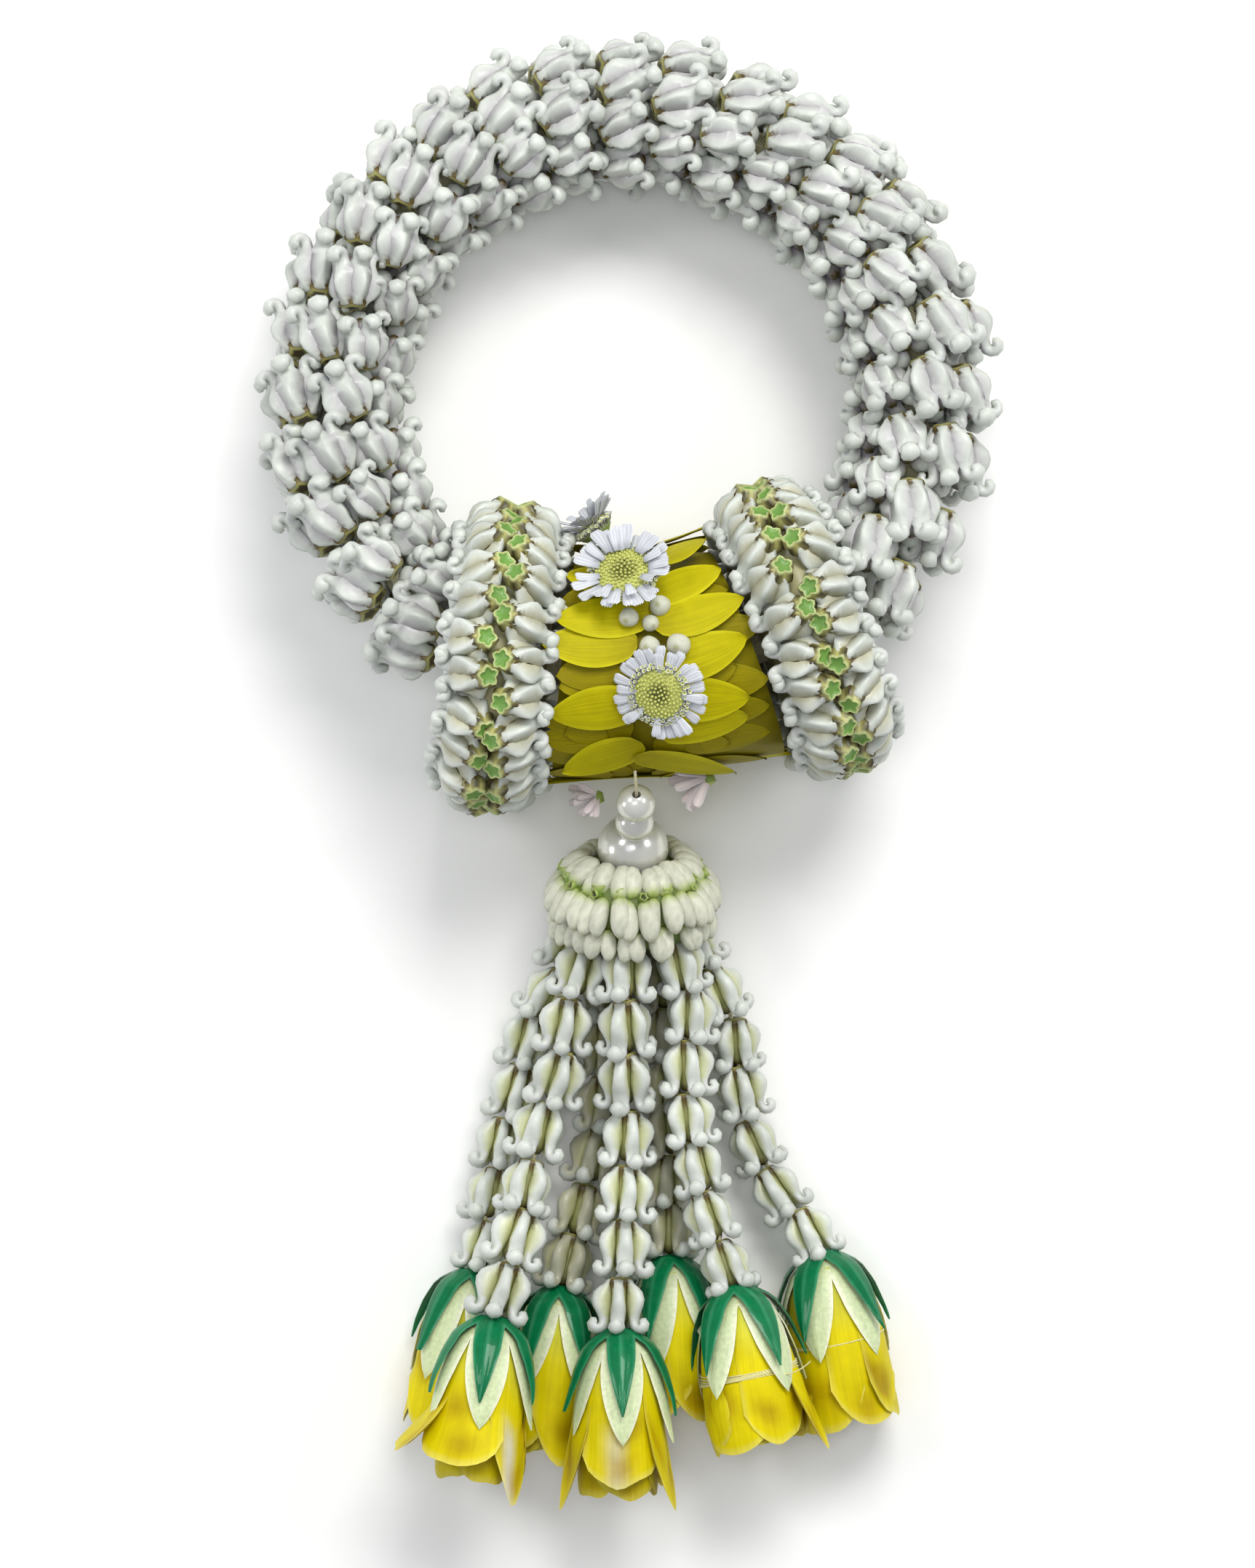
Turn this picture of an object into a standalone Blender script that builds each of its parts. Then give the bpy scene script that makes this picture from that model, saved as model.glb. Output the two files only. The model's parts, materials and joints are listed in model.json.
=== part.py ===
"""Hand garland: a ring of crown flowers with two collars, a band of yellow petals and a tassel.

The garland lies on a flat surface at z = 0 and is seen from +Z, with its ring toward +Y and its tassel
toward -Y. Every size below is in millimetres, and each mesh is scaled to metres as it is made.
"""

import math

import bmesh
import bpy
from mathutils import Matrix, Vector
from mathutils.bvhtree import BVHTree

MM = 0.001
GAP = 0.3  # between pieces that touch
UP = Vector((0, 0, 1))

# The ring. A turn is an angle in degrees from straight down the picture, positive to the right.
RING_RADIUS = 60.2  # from the hole's centre to the middle of the rope
RING_DIP = 5.0  # how far the middle of the band is pulled in
DIP_TURN, DIP_REACH = 5.5, 33.0
RING_TILT = 7.1  # the far end of the ring lies lower than the end between the collars
RING_HEIGHT = 24.7
CORD_RADIUS, CORD_BORE = 3.0, 4.0
CORD_SIDES = 7
STRANDS = 7
LAYERS = 24
SECTORS = 8
LAYER_TWIST = 30.0
# Radii across one strand: a valley, a ridge, a groove and a ridge
NECK = (13.6, 14.4, 14.2, 14.4)
BODY = (14.4, 17.2, 16.0, 17.2)
CURLS = (15.0, 18.6, 16.6, 18.6)
STRAND_COLUMNS = len(NECK)
CROWN_STAGES = ((0.0, NECK), (0.55, BODY), (0.88, CURLS))  # each with its share of the layer
SLEEVE_RADIUS = 17.4  # the rope squeezed under a collar
SLEEVE_END = 0.8  # from a collar's edge to the end of the squeezed stretch
ROPE_START = 1.2  # from a collar's edge to the first crown

# The collars
COLLAR_TURNS = (-25.4, 37.1)
COLLAR_HEADINGS = (-6.0, 20.5)
COLLAR_FLAT = (13.6, 12.6)  # degrees each side of a collar over which the rope runs straight
REJOIN = 30.0  # degrees after which the rope is back on its circle
COLLAR_HALF = 12.0
COLLAR_BORE = 18.1
COLLAR_WALL = 1.0
COLLAR_CROWNS = 18
COLLAR_RIDGE = 30.6
# Half of a collar's section as (distance along the axis, radius), at a star and between two stars
COLLAR_AT_STAR = ((12.3, 22.0), (12.2, 27.2), (7.4, 29.2), (2.1, 32.0))
COLLAR_BETWEEN = ((11.9, 21.0), (11.2, 24.8), (7.4, 27.2), (2.1, 30.0))

# The band of petals
BAND_RADIUS = 22.8
BAND_COLUMNS = 16
BORE_COLUMNS = 8
BAND_START = 0.9  # from a collar's edge to the end of the roll
PETAL_ROWS = 13
PETAL_HALF_WIDTH = 4.2
PETAL_HALF_THICKNESS = 0.55
PETAL_SINK = 0.5
PETAL_RISE = 2.6
PETAL_TURN = 9.0  # degrees round the band from a petal's root to its tip
PETAL_STAGGER = 0.25  # of a row, left against right
PETAL_TILT = 0.35  # one edge lies higher, so that each petal laps over the next
# Each is a share of the way to the collar and a share of the width
PETAL_STATIONS = ((0.04, 0.5), (0.32, 0.95), (0.62, 1.0), (0.85, 0.6), (0.95, 0.0))

# What stands on the band: its share of the way to a collar, its angle round the rope, and its sizes
STALK = 4.0
DAISIES = (
    # name, share, angle, radius, rays, droop
    ("daisy_front", 0.06, 68, 9.6, 12, 0.2),
    ("daisy_inner", -0.24, 126, 9.4, 12, -0.8),
    ("daisy_hidden", -0.50, 164, 7.4, 10, 0.5),
    ("daisy_wilted_left", -0.60, -4, 4.6, 7, 1.8),
    ("daisy_wilted_right", 0.34, -4, 4.6, 7, 1.8),
)
WHITE_BUDS = (
    # share, angle, radius
    (0.11, 108, 2.25),
    (-0.03, 100, 1.85),
    (-0.28, 103, 2.1),
    (-0.07, 89, 2.15),
    (0.24, 88, 2.5),
)
HELD_HIGH = 9.5  # from where these are let down onto the petals

# Cap, pearls and tassel
CAP_CENTRE = Vector((1.1, -104.8, 17.3))
CAP_ELEVATION = 20.0
CAP_BUDS = 22
CAP_TOP, CAP_BOTTOM = 5.0, -5.2  # middles of the dish for the pearl and of the hollow over the strings
CAP_PROFILE = (
    # along the axis, radius, which of two points stands out, and how far
    (5.9, 4.4, 0, 0.0),
    (8.7, 7.2, 0, 0.2),
    (10.0, 10.4, 0, 0.5),
    (8.4, 13.8, 0, 0.1),
    (6.4, 16.9, 1, 0.6),
    (1.2, 17.6, 1, 0.8),
    (-0.5, 15.8, 0, 0.2),
    (-3.4, 16.6, 0, 0.7),
    (-6.8, 15.0, 0, 0.5),
    (-5.4, 12.0, 0, 0.0),
)
PEARL_SMALL, PEARL_LARGE = 3.95, 7.4
PEARL_BORE, THREAD_RADIUS = 0.9, 0.45
PEARL_SEAT = 12.7  # from the cap's centre to the large pearl's centre
PEARL_RISE = Vector((0.03, 0.4736, 0.8802)).normalized()
THREAD_END = Vector((-0.2, 6.6, 6.0))  # where the thread goes in among the petals, from the upper pearl
STRING_CROWNS = 7
STRING_STEPS = 20
STRING_STAGES = ((0, 1.7, 1.5), (11, 5.1, 3.7), (17, 5.9, 4.3))  # step, radius at a lobe and between two
STRING_POINTS = (
    ((-9.7, -110.4, 12.5), (-20.2, -129.5, 8.2), (-26.0, -153.0, 6.2), (-32.0, -181.0, 8.6)),
    ((-8.2, -113.6, 20.4), (-12.5, -129.0, 20.2), (-18.4, -153.0, 18.6), (-27.6, -188.6, 27.2)),
    ((-3.9, -107.5, 6.9), (-4.5, -128.0, 6.1), (-5.8, -153.0, 6.2), (-14.2, -184.4, 8.8)),
    ((1.0, -113.9, 24.6), (-0.2, -129.0, 24.0), (0.1, -153.0, 19.6), (-1.5, -191.6, 23.2)),
    ((6.0, -107.5, 6.9), (8.0, -128.0, 6.1), (9.4, -153.0, 6.2), (8.9, -178.0, 8.8)),
    ((10.4, -113.6, 20.4), (12.9, -129.0, 20.0), (13.2, -153.0, 18.6), (21.9, -182.9, 21.8)),
    ((11.8, -110.5, 13.2), (21.6, -128.0, 9.6), (26.0, -153.0, 6.2), (40.4, -177.0, 8.8)),
)
ROSE_ENDS = (
    (-38.0, -216.0, 10.0),
    (-32.3, -226.0, 29.7),
    (-16.4, -218.7, 10.0),
    (-1.7, -227.0, 25.0),
    (11.0, -211.0, 10.0),
    (28.0, -217.5, 23.7),
    (46.9, -213.0, 10.0),
)
ROSE_MOUTHS = (9.2, 11.6, 9.0, 11.6, 9.0, 9.4, 9.4)  # radius of each bud's rim
ROSE_STEM = 1.5  # from the end of the string to the calyx
ROSE_BODY, ROSE_BODY_AT = 8.0, 15.5
ROSE_NOTCH = 5.0  # depth of the rim between two petals
SEPAL_LENGTH = 19.5
SEPAL_CLEAR = 0.6  # from the petals to a sepal


def clear_scene():
    for obj in list(bpy.data.objects):
        bpy.data.objects.remove(obj, do_unlink=True)


def make_material(name, colour, roughness):
    material = bpy.data.materials.new(name)
    material.use_nodes = True
    shader = material.node_tree.nodes["Principled BSDF"]
    shader.inputs["Base Color"].default_value = (*colour, 1)
    shader.inputs["Roughness"].default_value = roughness
    shader.inputs["Metallic"].default_value = 0.0
    return material


def new_collection(name):
    collection = bpy.data.collections.new(name)
    bpy.context.scene.collection.children.link(collection)
    return collection


def add_rings(bm, rings):
    """Each ring is a list of points; a ring of one point is a pole."""
    return [[bm.verts.new(point * MM) for point in ring] for ring in rings]


def join_rings(bm, rings):
    for first, second in zip(rings, rings[1:]):
        count = max(len(first), len(second))
        for i in range(count):
            j = (i + 1) % count
            if len(first) == 1:
                bm.faces.new((first[0], second[j], second[i]))
            elif len(second) == 1:
                bm.faces.new((first[i], first[j], second[0]))
            else:
                bm.faces.new((first[i], first[j], second[j], second[i]))


def press_flat(bm):
    """Cuts a soft piece level where it rests on the surface."""
    geometry = [*bm.verts, *bm.edges, *bm.faces]
    cut = bmesh.ops.bisect_plane(
        bm, geom=geometry, dist=0.001 * MM, plane_co=(0, 0, 0), plane_no=(0, 0, -1), clear_outer=True
    )
    rim = [item for item in cut["geom_cut"] if isinstance(item, bmesh.types.BMEdge)]
    bmesh.ops.holes_fill(bm, edges=rim)


def finish(bm, name, material, collection, parent):
    press_flat(bm)
    bmesh.ops.recalc_face_normals(bm, faces=bm.faces)
    bmesh.ops.triangulate(bm, faces=bm.faces)
    mesh = bpy.data.meshes.new(name)
    bm.to_mesh(mesh)
    bm.free()
    mesh.materials.append(material)
    obj = bpy.data.objects.new(name, mesh)
    obj.parent = parent
    collection.objects.link(obj)
    return obj


def skin(name, rings, material, collection, parent):
    """A closed body from a row of rings between two poles."""
    bm = bmesh.new()
    join_rings(bm, add_rings(bm, rings))
    return finish(bm, name, material, collection, parent)


def fuse(base, pieces):
    """One Boolean union of the base with all its pieces."""
    union = base.modifiers.new("union", "BOOLEAN")
    union.operation = "UNION"
    union.operand_type = "COLLECTION"
    union.collection = pieces
    union.solver = "MANIFOLD"
    evaluated = base.evaluated_get(bpy.context.evaluated_depsgraph_get())
    fused = bpy.data.meshes.new_from_object(evaluated)
    base.modifiers.clear()
    base.data = fused
    for obj in list(pieces.objects):
        bpy.data.objects.remove(obj, do_unlink=True)
    bpy.data.collections.remove(pieces)


def ease(value, low, high):
    return min(max((value - low) / (high - low), 0.0), 1.0)


def signed(turn):
    """The same turn between -180 and 180."""
    return (turn + 180) % 360 - 180


def ring_centre(turn):
    """Middle of the rope, in the ring's own plane."""
    turn = signed(turn)
    away = min(abs(turn - DIP_TURN) / DIP_REACH, 1.0)
    radius = RING_RADIUS - RING_DIP * math.cos(math.radians(90 * away)) ** 2
    angle = math.radians(turn)
    return Vector((radius * math.sin(angle), -radius * math.cos(angle), 0))


def ring_heading(turn):
    """Direction of the rope, which runs straight through each collar and turns sharply beside it."""
    turn = signed(turn)
    left, right = COLLAR_TURNS
    left_end, right_end = left - COLLAR_FLAT[0], right + COLLAR_FLAT[1]
    if turn < left_end:
        return left_end - REJOIN + (COLLAR_HEADINGS[0] - left_end + REJOIN) * ease(
            turn, left_end - REJOIN, left_end
        ) + min(turn - left_end + REJOIN, 0)
    if turn > right_end:
        return COLLAR_HEADINGS[1] + (right_end + REJOIN - COLLAR_HEADINGS[1]) * ease(
            turn, right_end, right_end + REJOIN
        ) + max(turn - right_end - REJOIN, 0)
    share = ease(turn, left + COLLAR_FLAT[0], right - COLLAR_FLAT[1])
    return COLLAR_HEADINGS[0] + (COLLAR_HEADINGS[1] - COLLAR_HEADINGS[0]) * share


def directions(heading):
    angle = math.radians(heading)
    return Vector((math.cos(angle), math.sin(angle), 0)), Vector((math.sin(angle), -math.cos(angle), 0))


RING_PLACE = Matrix.Translation((0, 0, RING_HEIGHT)) @ Matrix.Rotation(math.radians(-RING_TILT), 4, "X")


def rope_point(turn, angle, radius):
    """Point round the rope's section: angle 0 is outward, 90 is up and 180 faces the hole."""
    _, outward = directions(ring_heading(turn))
    angle = math.radians(angle)
    offset = outward * (radius * math.cos(angle)) + UP * (radius * math.sin(angle))
    return RING_PLACE @ (ring_centre(turn) + offset)


def rope_ring(turn, start, radii):
    step = 360 / len(radii)
    return [rope_point(turn, start + step * i, radius) for i, radius in enumerate(radii)]


def turn_in_collar(side, along):
    """Turn at which the rope crosses the plane that lies this far along a collar's axis."""
    axis, _ = directions(COLLAR_HEADINGS[side])
    centre = ring_centre(COLLAR_TURNS[side])
    low, high = COLLAR_TURNS[side] - 25, COLLAR_TURNS[side] + 25
    for _ in range(40):
        middle = (low + high) / 2
        if (ring_centre(middle) - centre).dot(axis) < along:
            low = middle
        else:
            high = middle
    return low


def make_rope(material, collection, parent):
    """The crowns of seven twisted strings, in sectors round the cord, with the necks clockwise behind."""
    first = turn_in_collar(0, -COLLAR_HALF - ROPE_START)
    last = turn_in_collar(1, COLLAR_HALF + ROPE_START)
    layer = (360 - last + first) / LAYERS
    per_sector = LAYERS // SECTORS
    trim = GAP / 2 / (RING_RADIUS - max(NECK)) / math.radians(layer)
    sleeve = (SLEEVE_RADIUS,) * STRANDS * STRAND_COLUMNS
    for sector in range(SECTORS):
        stations = []
        for number in range(sector * per_sector, (sector + 1) * per_sector):
            for share, radii in CROWN_STAGES:
                stations.append((number + share, radii * STRANDS))
        stations.append(((sector + 1) * per_sector, NECK * STRANDS))
        stations[0] = (stations[0][0] + trim, stations[0][1])
        stations[-1] = (stations[-1][0] - trim, stations[-1][1])
        rows = [(first - layer * at, -LAYER_TWIST * at, radii) for at, radii in stations]
        bores = rows[::len(CROWN_STAGES)]
        if sector == 0:
            turns = [turn_in_collar(0, along) for along in (COLLAR_HALF, 0, -COLLAR_HALF - SLEEVE_END)]
            under = [(turn, 0.0, sleeve) for turn in turns]
            rows = under + rows
            bores = under[:2] + bores
        if sector == SECTORS - 1:
            stops = (COLLAR_HALF + SLEEVE_END, 0, -COLLAR_HALF)
            turns = [turn_in_collar(1, along) - 360 for along in stops]
            under = [(turn, rows[-1][1], sleeve) for turn in turns]
            rows = rows + under
            bores = bores + under[1:]
        bm = bmesh.new()
        outer = add_rings(bm, [rope_ring(turn, start, radii) for turn, start, radii in rows])
        bore_radii = (CORD_BORE,) * STRANDS
        bore = add_rings(bm, [rope_ring(turn, start, bore_radii) for turn, start, _ in bores])
        join_rings(bm, outer)
        join_rings(bm, bore)
        for skin_ring, bore_ring in ((outer[0], bore[0]), (outer[-1], bore[-1])):
            for i in range(STRANDS):
                j = (i + 1) % STRANDS
                columns = range(STRAND_COLUMNS * i, STRAND_COLUMNS * (i + 1) + 1)
                arc = [skin_ring[column % len(skin_ring)] for column in columns]
                bm.faces.new(arc + [bore_ring[j], bore_ring[i]])
        finish(bm, f"ring_crowns_{sector + 1}", material, collection, parent)
    return [first - layer * number for number in range(LAYERS + 1)]


def make_cord(rope_turns, material, collection, parent):
    """The cotton cord, a closed loop through the rope, the collars and the band."""
    left = [turn_in_collar(0, along) for along in (COLLAR_HALF, 0)]
    right = [turn_in_collar(1, along) - 360 for along in (0, -COLLAR_HALF)]
    turns = left + rope_turns + right + [DIP_TURN - 360]
    bm = bmesh.new()
    rings = add_rings(bm, [rope_ring(turn, 0, (CORD_RADIUS,) * CORD_SIDES) for turn in turns])
    join_rings(bm, rings + rings[:1])
    finish(bm, "ring_cord", material, collection, parent)


def make_collar(side, name, material, collection, parent):
    """A collar of two rows of crowns, with their heads raised in turn along the middle."""
    axis, outward = directions(COLLAR_HEADINGS[side])
    centre = ring_centre(COLLAR_TURNS[side])
    columns = 2 * COLLAR_CROWNS

    def place(along, angle, radius, is_bore):
        rope = ring_centre(turn_in_collar(side, max(min(along, COLLAR_HALF), -COLLAR_HALF)))
        offset = (rope - centre).dot(outward)
        flat = Vector((radius * math.cos(angle), radius * math.sin(angle)))
        if is_bore:
            flat.x += offset
        else:
            away = flat - Vector((offset, 0))
            if away.length < COLLAR_BORE + COLLAR_WALL:
                flat = Vector((offset, 0)) + away.normalized() * (COLLAR_BORE + COLLAR_WALL)
        return RING_PLACE @ (centre + axis * along + outward * flat.x + UP * flat.y)

    sections = []
    for column in range(columns):
        angle = 2 * math.pi * column / columns
        halves = (COLLAR_AT_STAR, COLLAR_BETWEEN) if column % 2 == 0 else (COLLAR_BETWEEN, COLLAR_AT_STAR)
        near = [(along, radius, False) for along, radius in halves[0]]
        far = [(-along, radius, False) for along, radius in halves[1]]
        ridge = [(0.0, COLLAR_RIDGE, False)]
        bore = [(along, COLLAR_BORE, True) for along in (-COLLAR_HALF, 0.0, COLLAR_HALF)]
        section = near + ridge + far[::-1] + bore
        sections.append([place(along, angle, radius, is_bore) for along, radius, is_bore in section])
    bm = bmesh.new()
    rings = add_rings(bm, sections)
    join_rings(bm, rings + rings[:1])
    finish(bm, name, material, collection, parent)


def band_point(share, angle, radius):
    """Point on the band: share runs from -1 at the left collar to 1 at the right one."""
    left = turn_in_collar(0, COLLAR_HALF + BAND_START)
    right = turn_in_collar(1, -COLLAR_HALF - BAND_START)
    return rope_point((left + right) / 2 + share * (right - left) / 2, angle, radius)


def make_band(material, collection, parent):
    """A roll with a bore for the cord, and petals laid left and right from its middle line."""
    bm = bmesh.new()

    def tube(radius, columns):
        angles = [360 / columns * i for i in range(columns)]
        return add_rings(bm, [[band_point(s, angle, radius) for angle in angles] for s in (-1.0, 0.0, 1.0)])

    outer = tube(BAND_RADIUS, BAND_COLUMNS)
    bore = tube(CORD_BORE, BORE_COLUMNS)
    join_rings(bm, outer)
    join_rings(bm, bore)
    fan = BAND_COLUMNS // BORE_COLUMNS
    for skin_ring, bore_ring in ((outer[0], bore[0]), (outer[-1], bore[-1])):
        for i in range(BORE_COLUMNS):
            arc = [skin_ring[(fan * i + k) % BAND_COLUMNS] for k in range(fan + 1)]
            bm.faces.new(arc + [bore_ring[(i + 1) % BORE_COLUMNS], bore_ring[i]])
    band = finish(bm, "petal_band", material, collection, parent)
    petals = new_collection("petals")
    for row in range(PETAL_ROWS):
        for hand in (-1, 1):
            rings = []
            for share, width in PETAL_STATIONS:
                radius = BAND_RADIUS - PETAL_SINK + PETAL_RISE * share
                angle = 360 / PETAL_ROWS * (row + PETAL_STAGGER * hand) + PETAL_TURN * share
                swing = math.degrees(PETAL_HALF_WIDTH * width / radius)
                edges = ((-swing, PETAL_TILT), (swing, -PETAL_TILT))
                faces = ((0, PETAL_HALF_THICKNESS), (0, -PETAL_HALF_THICKNESS))
                corners = (edges[0], faces[0], edges[1], faces[1]) if width else ((0, 0),)
                rings.append([band_point(hand * share, angle + a, radius + r) for a, r in corners])
            root = sum(rings[0], Vector()) / len(rings[0])
            skin(f"petal_{row}_{hand}", [[root], *rings], material, petals, parent)
    bpy.context.view_layer.update()
    fuse(band, petals)
    return band


def tree_of(obj):
    return BVHTree.FromObject(obj, bpy.context.evaluated_depsgraph_get())


def drop(obj, onto, direction):
    """Moves a piece along a direction until it is one gap from what carries it."""
    bpy.context.view_layer.update()
    own, other = tree_of(obj), tree_of(onto)
    nearest = math.inf
    for vertex in obj.data.vertices:
        place, _, _, away = other.ray_cast(obj.matrix_local @ vertex.co, direction)
        if place is not None:
            nearest = min(nearest, away)
    inverse = obj.matrix_local.inverted()
    inward = (inverse.to_3x3() @ -direction).normalized()
    for vertex in onto.data.vertices:
        place, _, _, away = own.ray_cast(inverse @ vertex.co, inward)
        if place is not None:
            nearest = min(nearest, away)
    obj.location += direction * (nearest - GAP * MM)


def seat_on_band(obj, band, share, angle):
    """Stands a piece on the band, with its own z axis pointing away from the band's middle."""
    foot = band_point(share, angle, BAND_RADIUS + HELD_HIGH)
    inward = (band_point(share, angle, 0) - foot).normalized()
    turned = (-inward).to_track_quat("Z", "Y").to_matrix().to_4x4()
    obj.matrix_local = Matrix.Translation(foot * MM) @ turned
    drop(obj, band, inward)


def make_daisy(name, radius, rays, droop, material, collection, parent):
    """A daisy head: a domed disc, blunt rays with gaps between them, and a short stalk below."""
    columns = 3 * rays
    disc = radius * 0.48

    def ray_ring(height):
        points = []
        for i in range(columns):
            angle = 2 * math.pi * i / columns
            reach = radius * 0.62 if i % 3 == 0 else radius
            lift = height - droop * reach / radius
            points.append(Vector((reach * math.cos(angle), reach * math.sin(angle), lift)))
        return points

    def round_ring(ring_radius, height):
        angles = [2 * math.pi * i / columns for i in range(columns)]
        return [Vector((ring_radius * math.cos(a), ring_radius * math.sin(a), height)) for a in angles]

    rings = [
        [Vector((0, 0, STALK + 1.9))],
        round_ring(disc, STALK + 1.2),
        ray_ring(STALK + 1.4),
        ray_ring(STALK + 0.7),
        round_ring(1.5, 0.0),
        [Vector((0, 0, 0))],
    ]
    return skin(name, rings, material, collection, parent)


def make_ball(name, radius, material, collection, parent):
    bm = bmesh.new()
    bmesh.ops.create_icosphere(bm, subdivisions=2, radius=radius * MM)
    mesh = bpy.data.meshes.new(name)
    bm.to_mesh(mesh)
    bm.free()
    mesh.shade_smooth()
    mesh.materials.append(material)
    obj = bpy.data.objects.new(name, mesh)
    obj.parent = parent
    collection.objects.link(obj)
    return obj


def make_pearl(name, radius, centre, axis, segments, material, collection, parent):
    """A turned ball with a bore along its axis."""
    mesh = bpy.data.meshes.new(name)
    bm = bmesh.new()
    steps = segments // 2
    hole = math.asin(PEARL_BORE / radius)
    profile = []
    for step in range(steps + 1):
        angle = hole + (math.pi - 2 * hole) * step / steps
        profile.append(bm.verts.new((radius * math.sin(angle) * MM, 0, radius * math.cos(angle) * MM)))
    for first, second in zip(profile, profile[1:] + profile[:1]):
        bm.edges.new((first, second))
    bm.to_mesh(mesh)
    bm.free()
    mesh.materials.append(material)
    obj = bpy.data.objects.new(name, mesh)
    obj.parent = parent
    obj.location = centre * MM
    obj.rotation_euler = axis.to_track_quat("Z", "Y").to_euler()
    screw = obj.modifiers.new("turned", "SCREW")
    screw.steps = screw.render_steps = segments
    screw.use_merge_vertices = True
    screw.merge_threshold = 0.00001
    collection.objects.link(obj)
    return obj


def make_thread(name, points, radius, material, collection, parent):
    curve = bpy.data.curves.new(name, "CURVE")
    curve.dimensions = "3D"
    curve.bevel_depth = radius * MM
    curve.bevel_resolution = 1
    curve.use_fill_caps = True
    spline = curve.splines.new("POLY")
    spline.points.add(len(points) - 1)
    for slot, point in zip(spline.points, points):
        slot.co = (*(point * MM), 1)
    curve.materials.append(material)
    obj = bpy.data.objects.new(name, curve)
    obj.parent = parent
    collection.objects.link(obj)
    return obj


def cap_directions():
    """The cap's axis, toward the pearls, and two directions across it."""
    angle = math.radians(CAP_ELEVATION)
    axis = Vector((0, math.cos(angle), math.sin(angle)))
    return axis, Vector((1, 0, 0)), Vector((0, -math.sin(angle), math.cos(angle)))


def make_cap(material, collection, parent):
    """Three rows of jasmine buds round a disc, which is dished for the pearl and over the strings."""
    axis, side, top = cap_directions()
    columns = 2 * CAP_BUDS

    def ring(along, radius, row, ridge):
        points = []
        for i in range(columns):
            angle = 2 * math.pi * i / columns
            reach = radius + (ridge if i % 2 == row else -ridge)
            across = side * math.cos(angle) + top * math.sin(angle)
            points.append(CAP_CENTRE + axis * along + across * reach)
        return points

    rings = [ring(*station) for station in CAP_PROFILE]
    top_pole = [CAP_CENTRE + axis * CAP_TOP]
    bottom_pole = [CAP_CENTRE + axis * CAP_BOTTOM]
    skin("bud_cap", [top_pole, *rings, bottom_pole], material, collection, parent)


def string_path(points, count):
    """Evenly spread points of a Catmull-Rom curve through the given ones."""
    knots = [Vector(point) for point in points]
    knots = [knots[0] * 2 - knots[1], *knots, knots[-1] * 2 - knots[-2]]
    fine = []
    for a, b, c, d in zip(knots, knots[1:], knots[2:], knots[3:]):
        for step in range(24):
            t = step / 24
            square = (2 * a - 5 * b + 4 * c - d) * t ** 2
            cube = (3 * b - a - 3 * c + d) * t ** 3
            fine.append((2 * b + (c - a) * t + square + cube) / 2)
    fine.append(knots[-2])
    lengths = [0.0]
    for first, second in zip(fine, fine[1:]):
        lengths.append(lengths[-1] + (second - first).length)
    spread = []
    for step in range(count + 1):
        wanted = lengths[-1] * step / count
        index = max(i for i, length in enumerate(lengths[:-1]) if length <= wanted)
        share = (wanted - lengths[index]) / (lengths[index + 1] - lengths[index])
        spread.append(fine[index].lerp(fine[index + 1], min(share, 1.0)))
    return spread


def lobed_ring(centre, along, radius, groove, lobes, turned=0.0):
    """A ring across a direction, with its points in turn at the radius and at the groove's radius."""
    side = along.cross(UP).normalized()
    top = side.cross(along).normalized()
    points = []
    for i in range(2 * lobes):
        angle = math.pi * (i + turned) / lobes
        reach = radius if i % 2 == 0 else groove
        points.append(centre + (side * math.cos(angle) + top * math.sin(angle)) * reach)
    return points


def make_string(number, points, material, collection, parent):
    """A hanging string of crowns: each has a narrow neck toward the cap and five curls toward the rose."""
    path = string_path(points, STRING_CROWNS * STRING_STEPS)
    rings = [[path[0]]]
    for crown in range(STRING_CROWNS):
        for step, radius, groove in STRING_STAGES:
            index = crown * STRING_STEPS + step
            along = (path[index + 1] - path[max(index - 1, 0)]).normalized()
            rings.append(lobed_ring(path[index], along, radius, groove, 5, 0.5))
    rings.append([path[-1]])
    skin(f"tassel_string_{number + 1}", rings, material, collection, parent)


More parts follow.
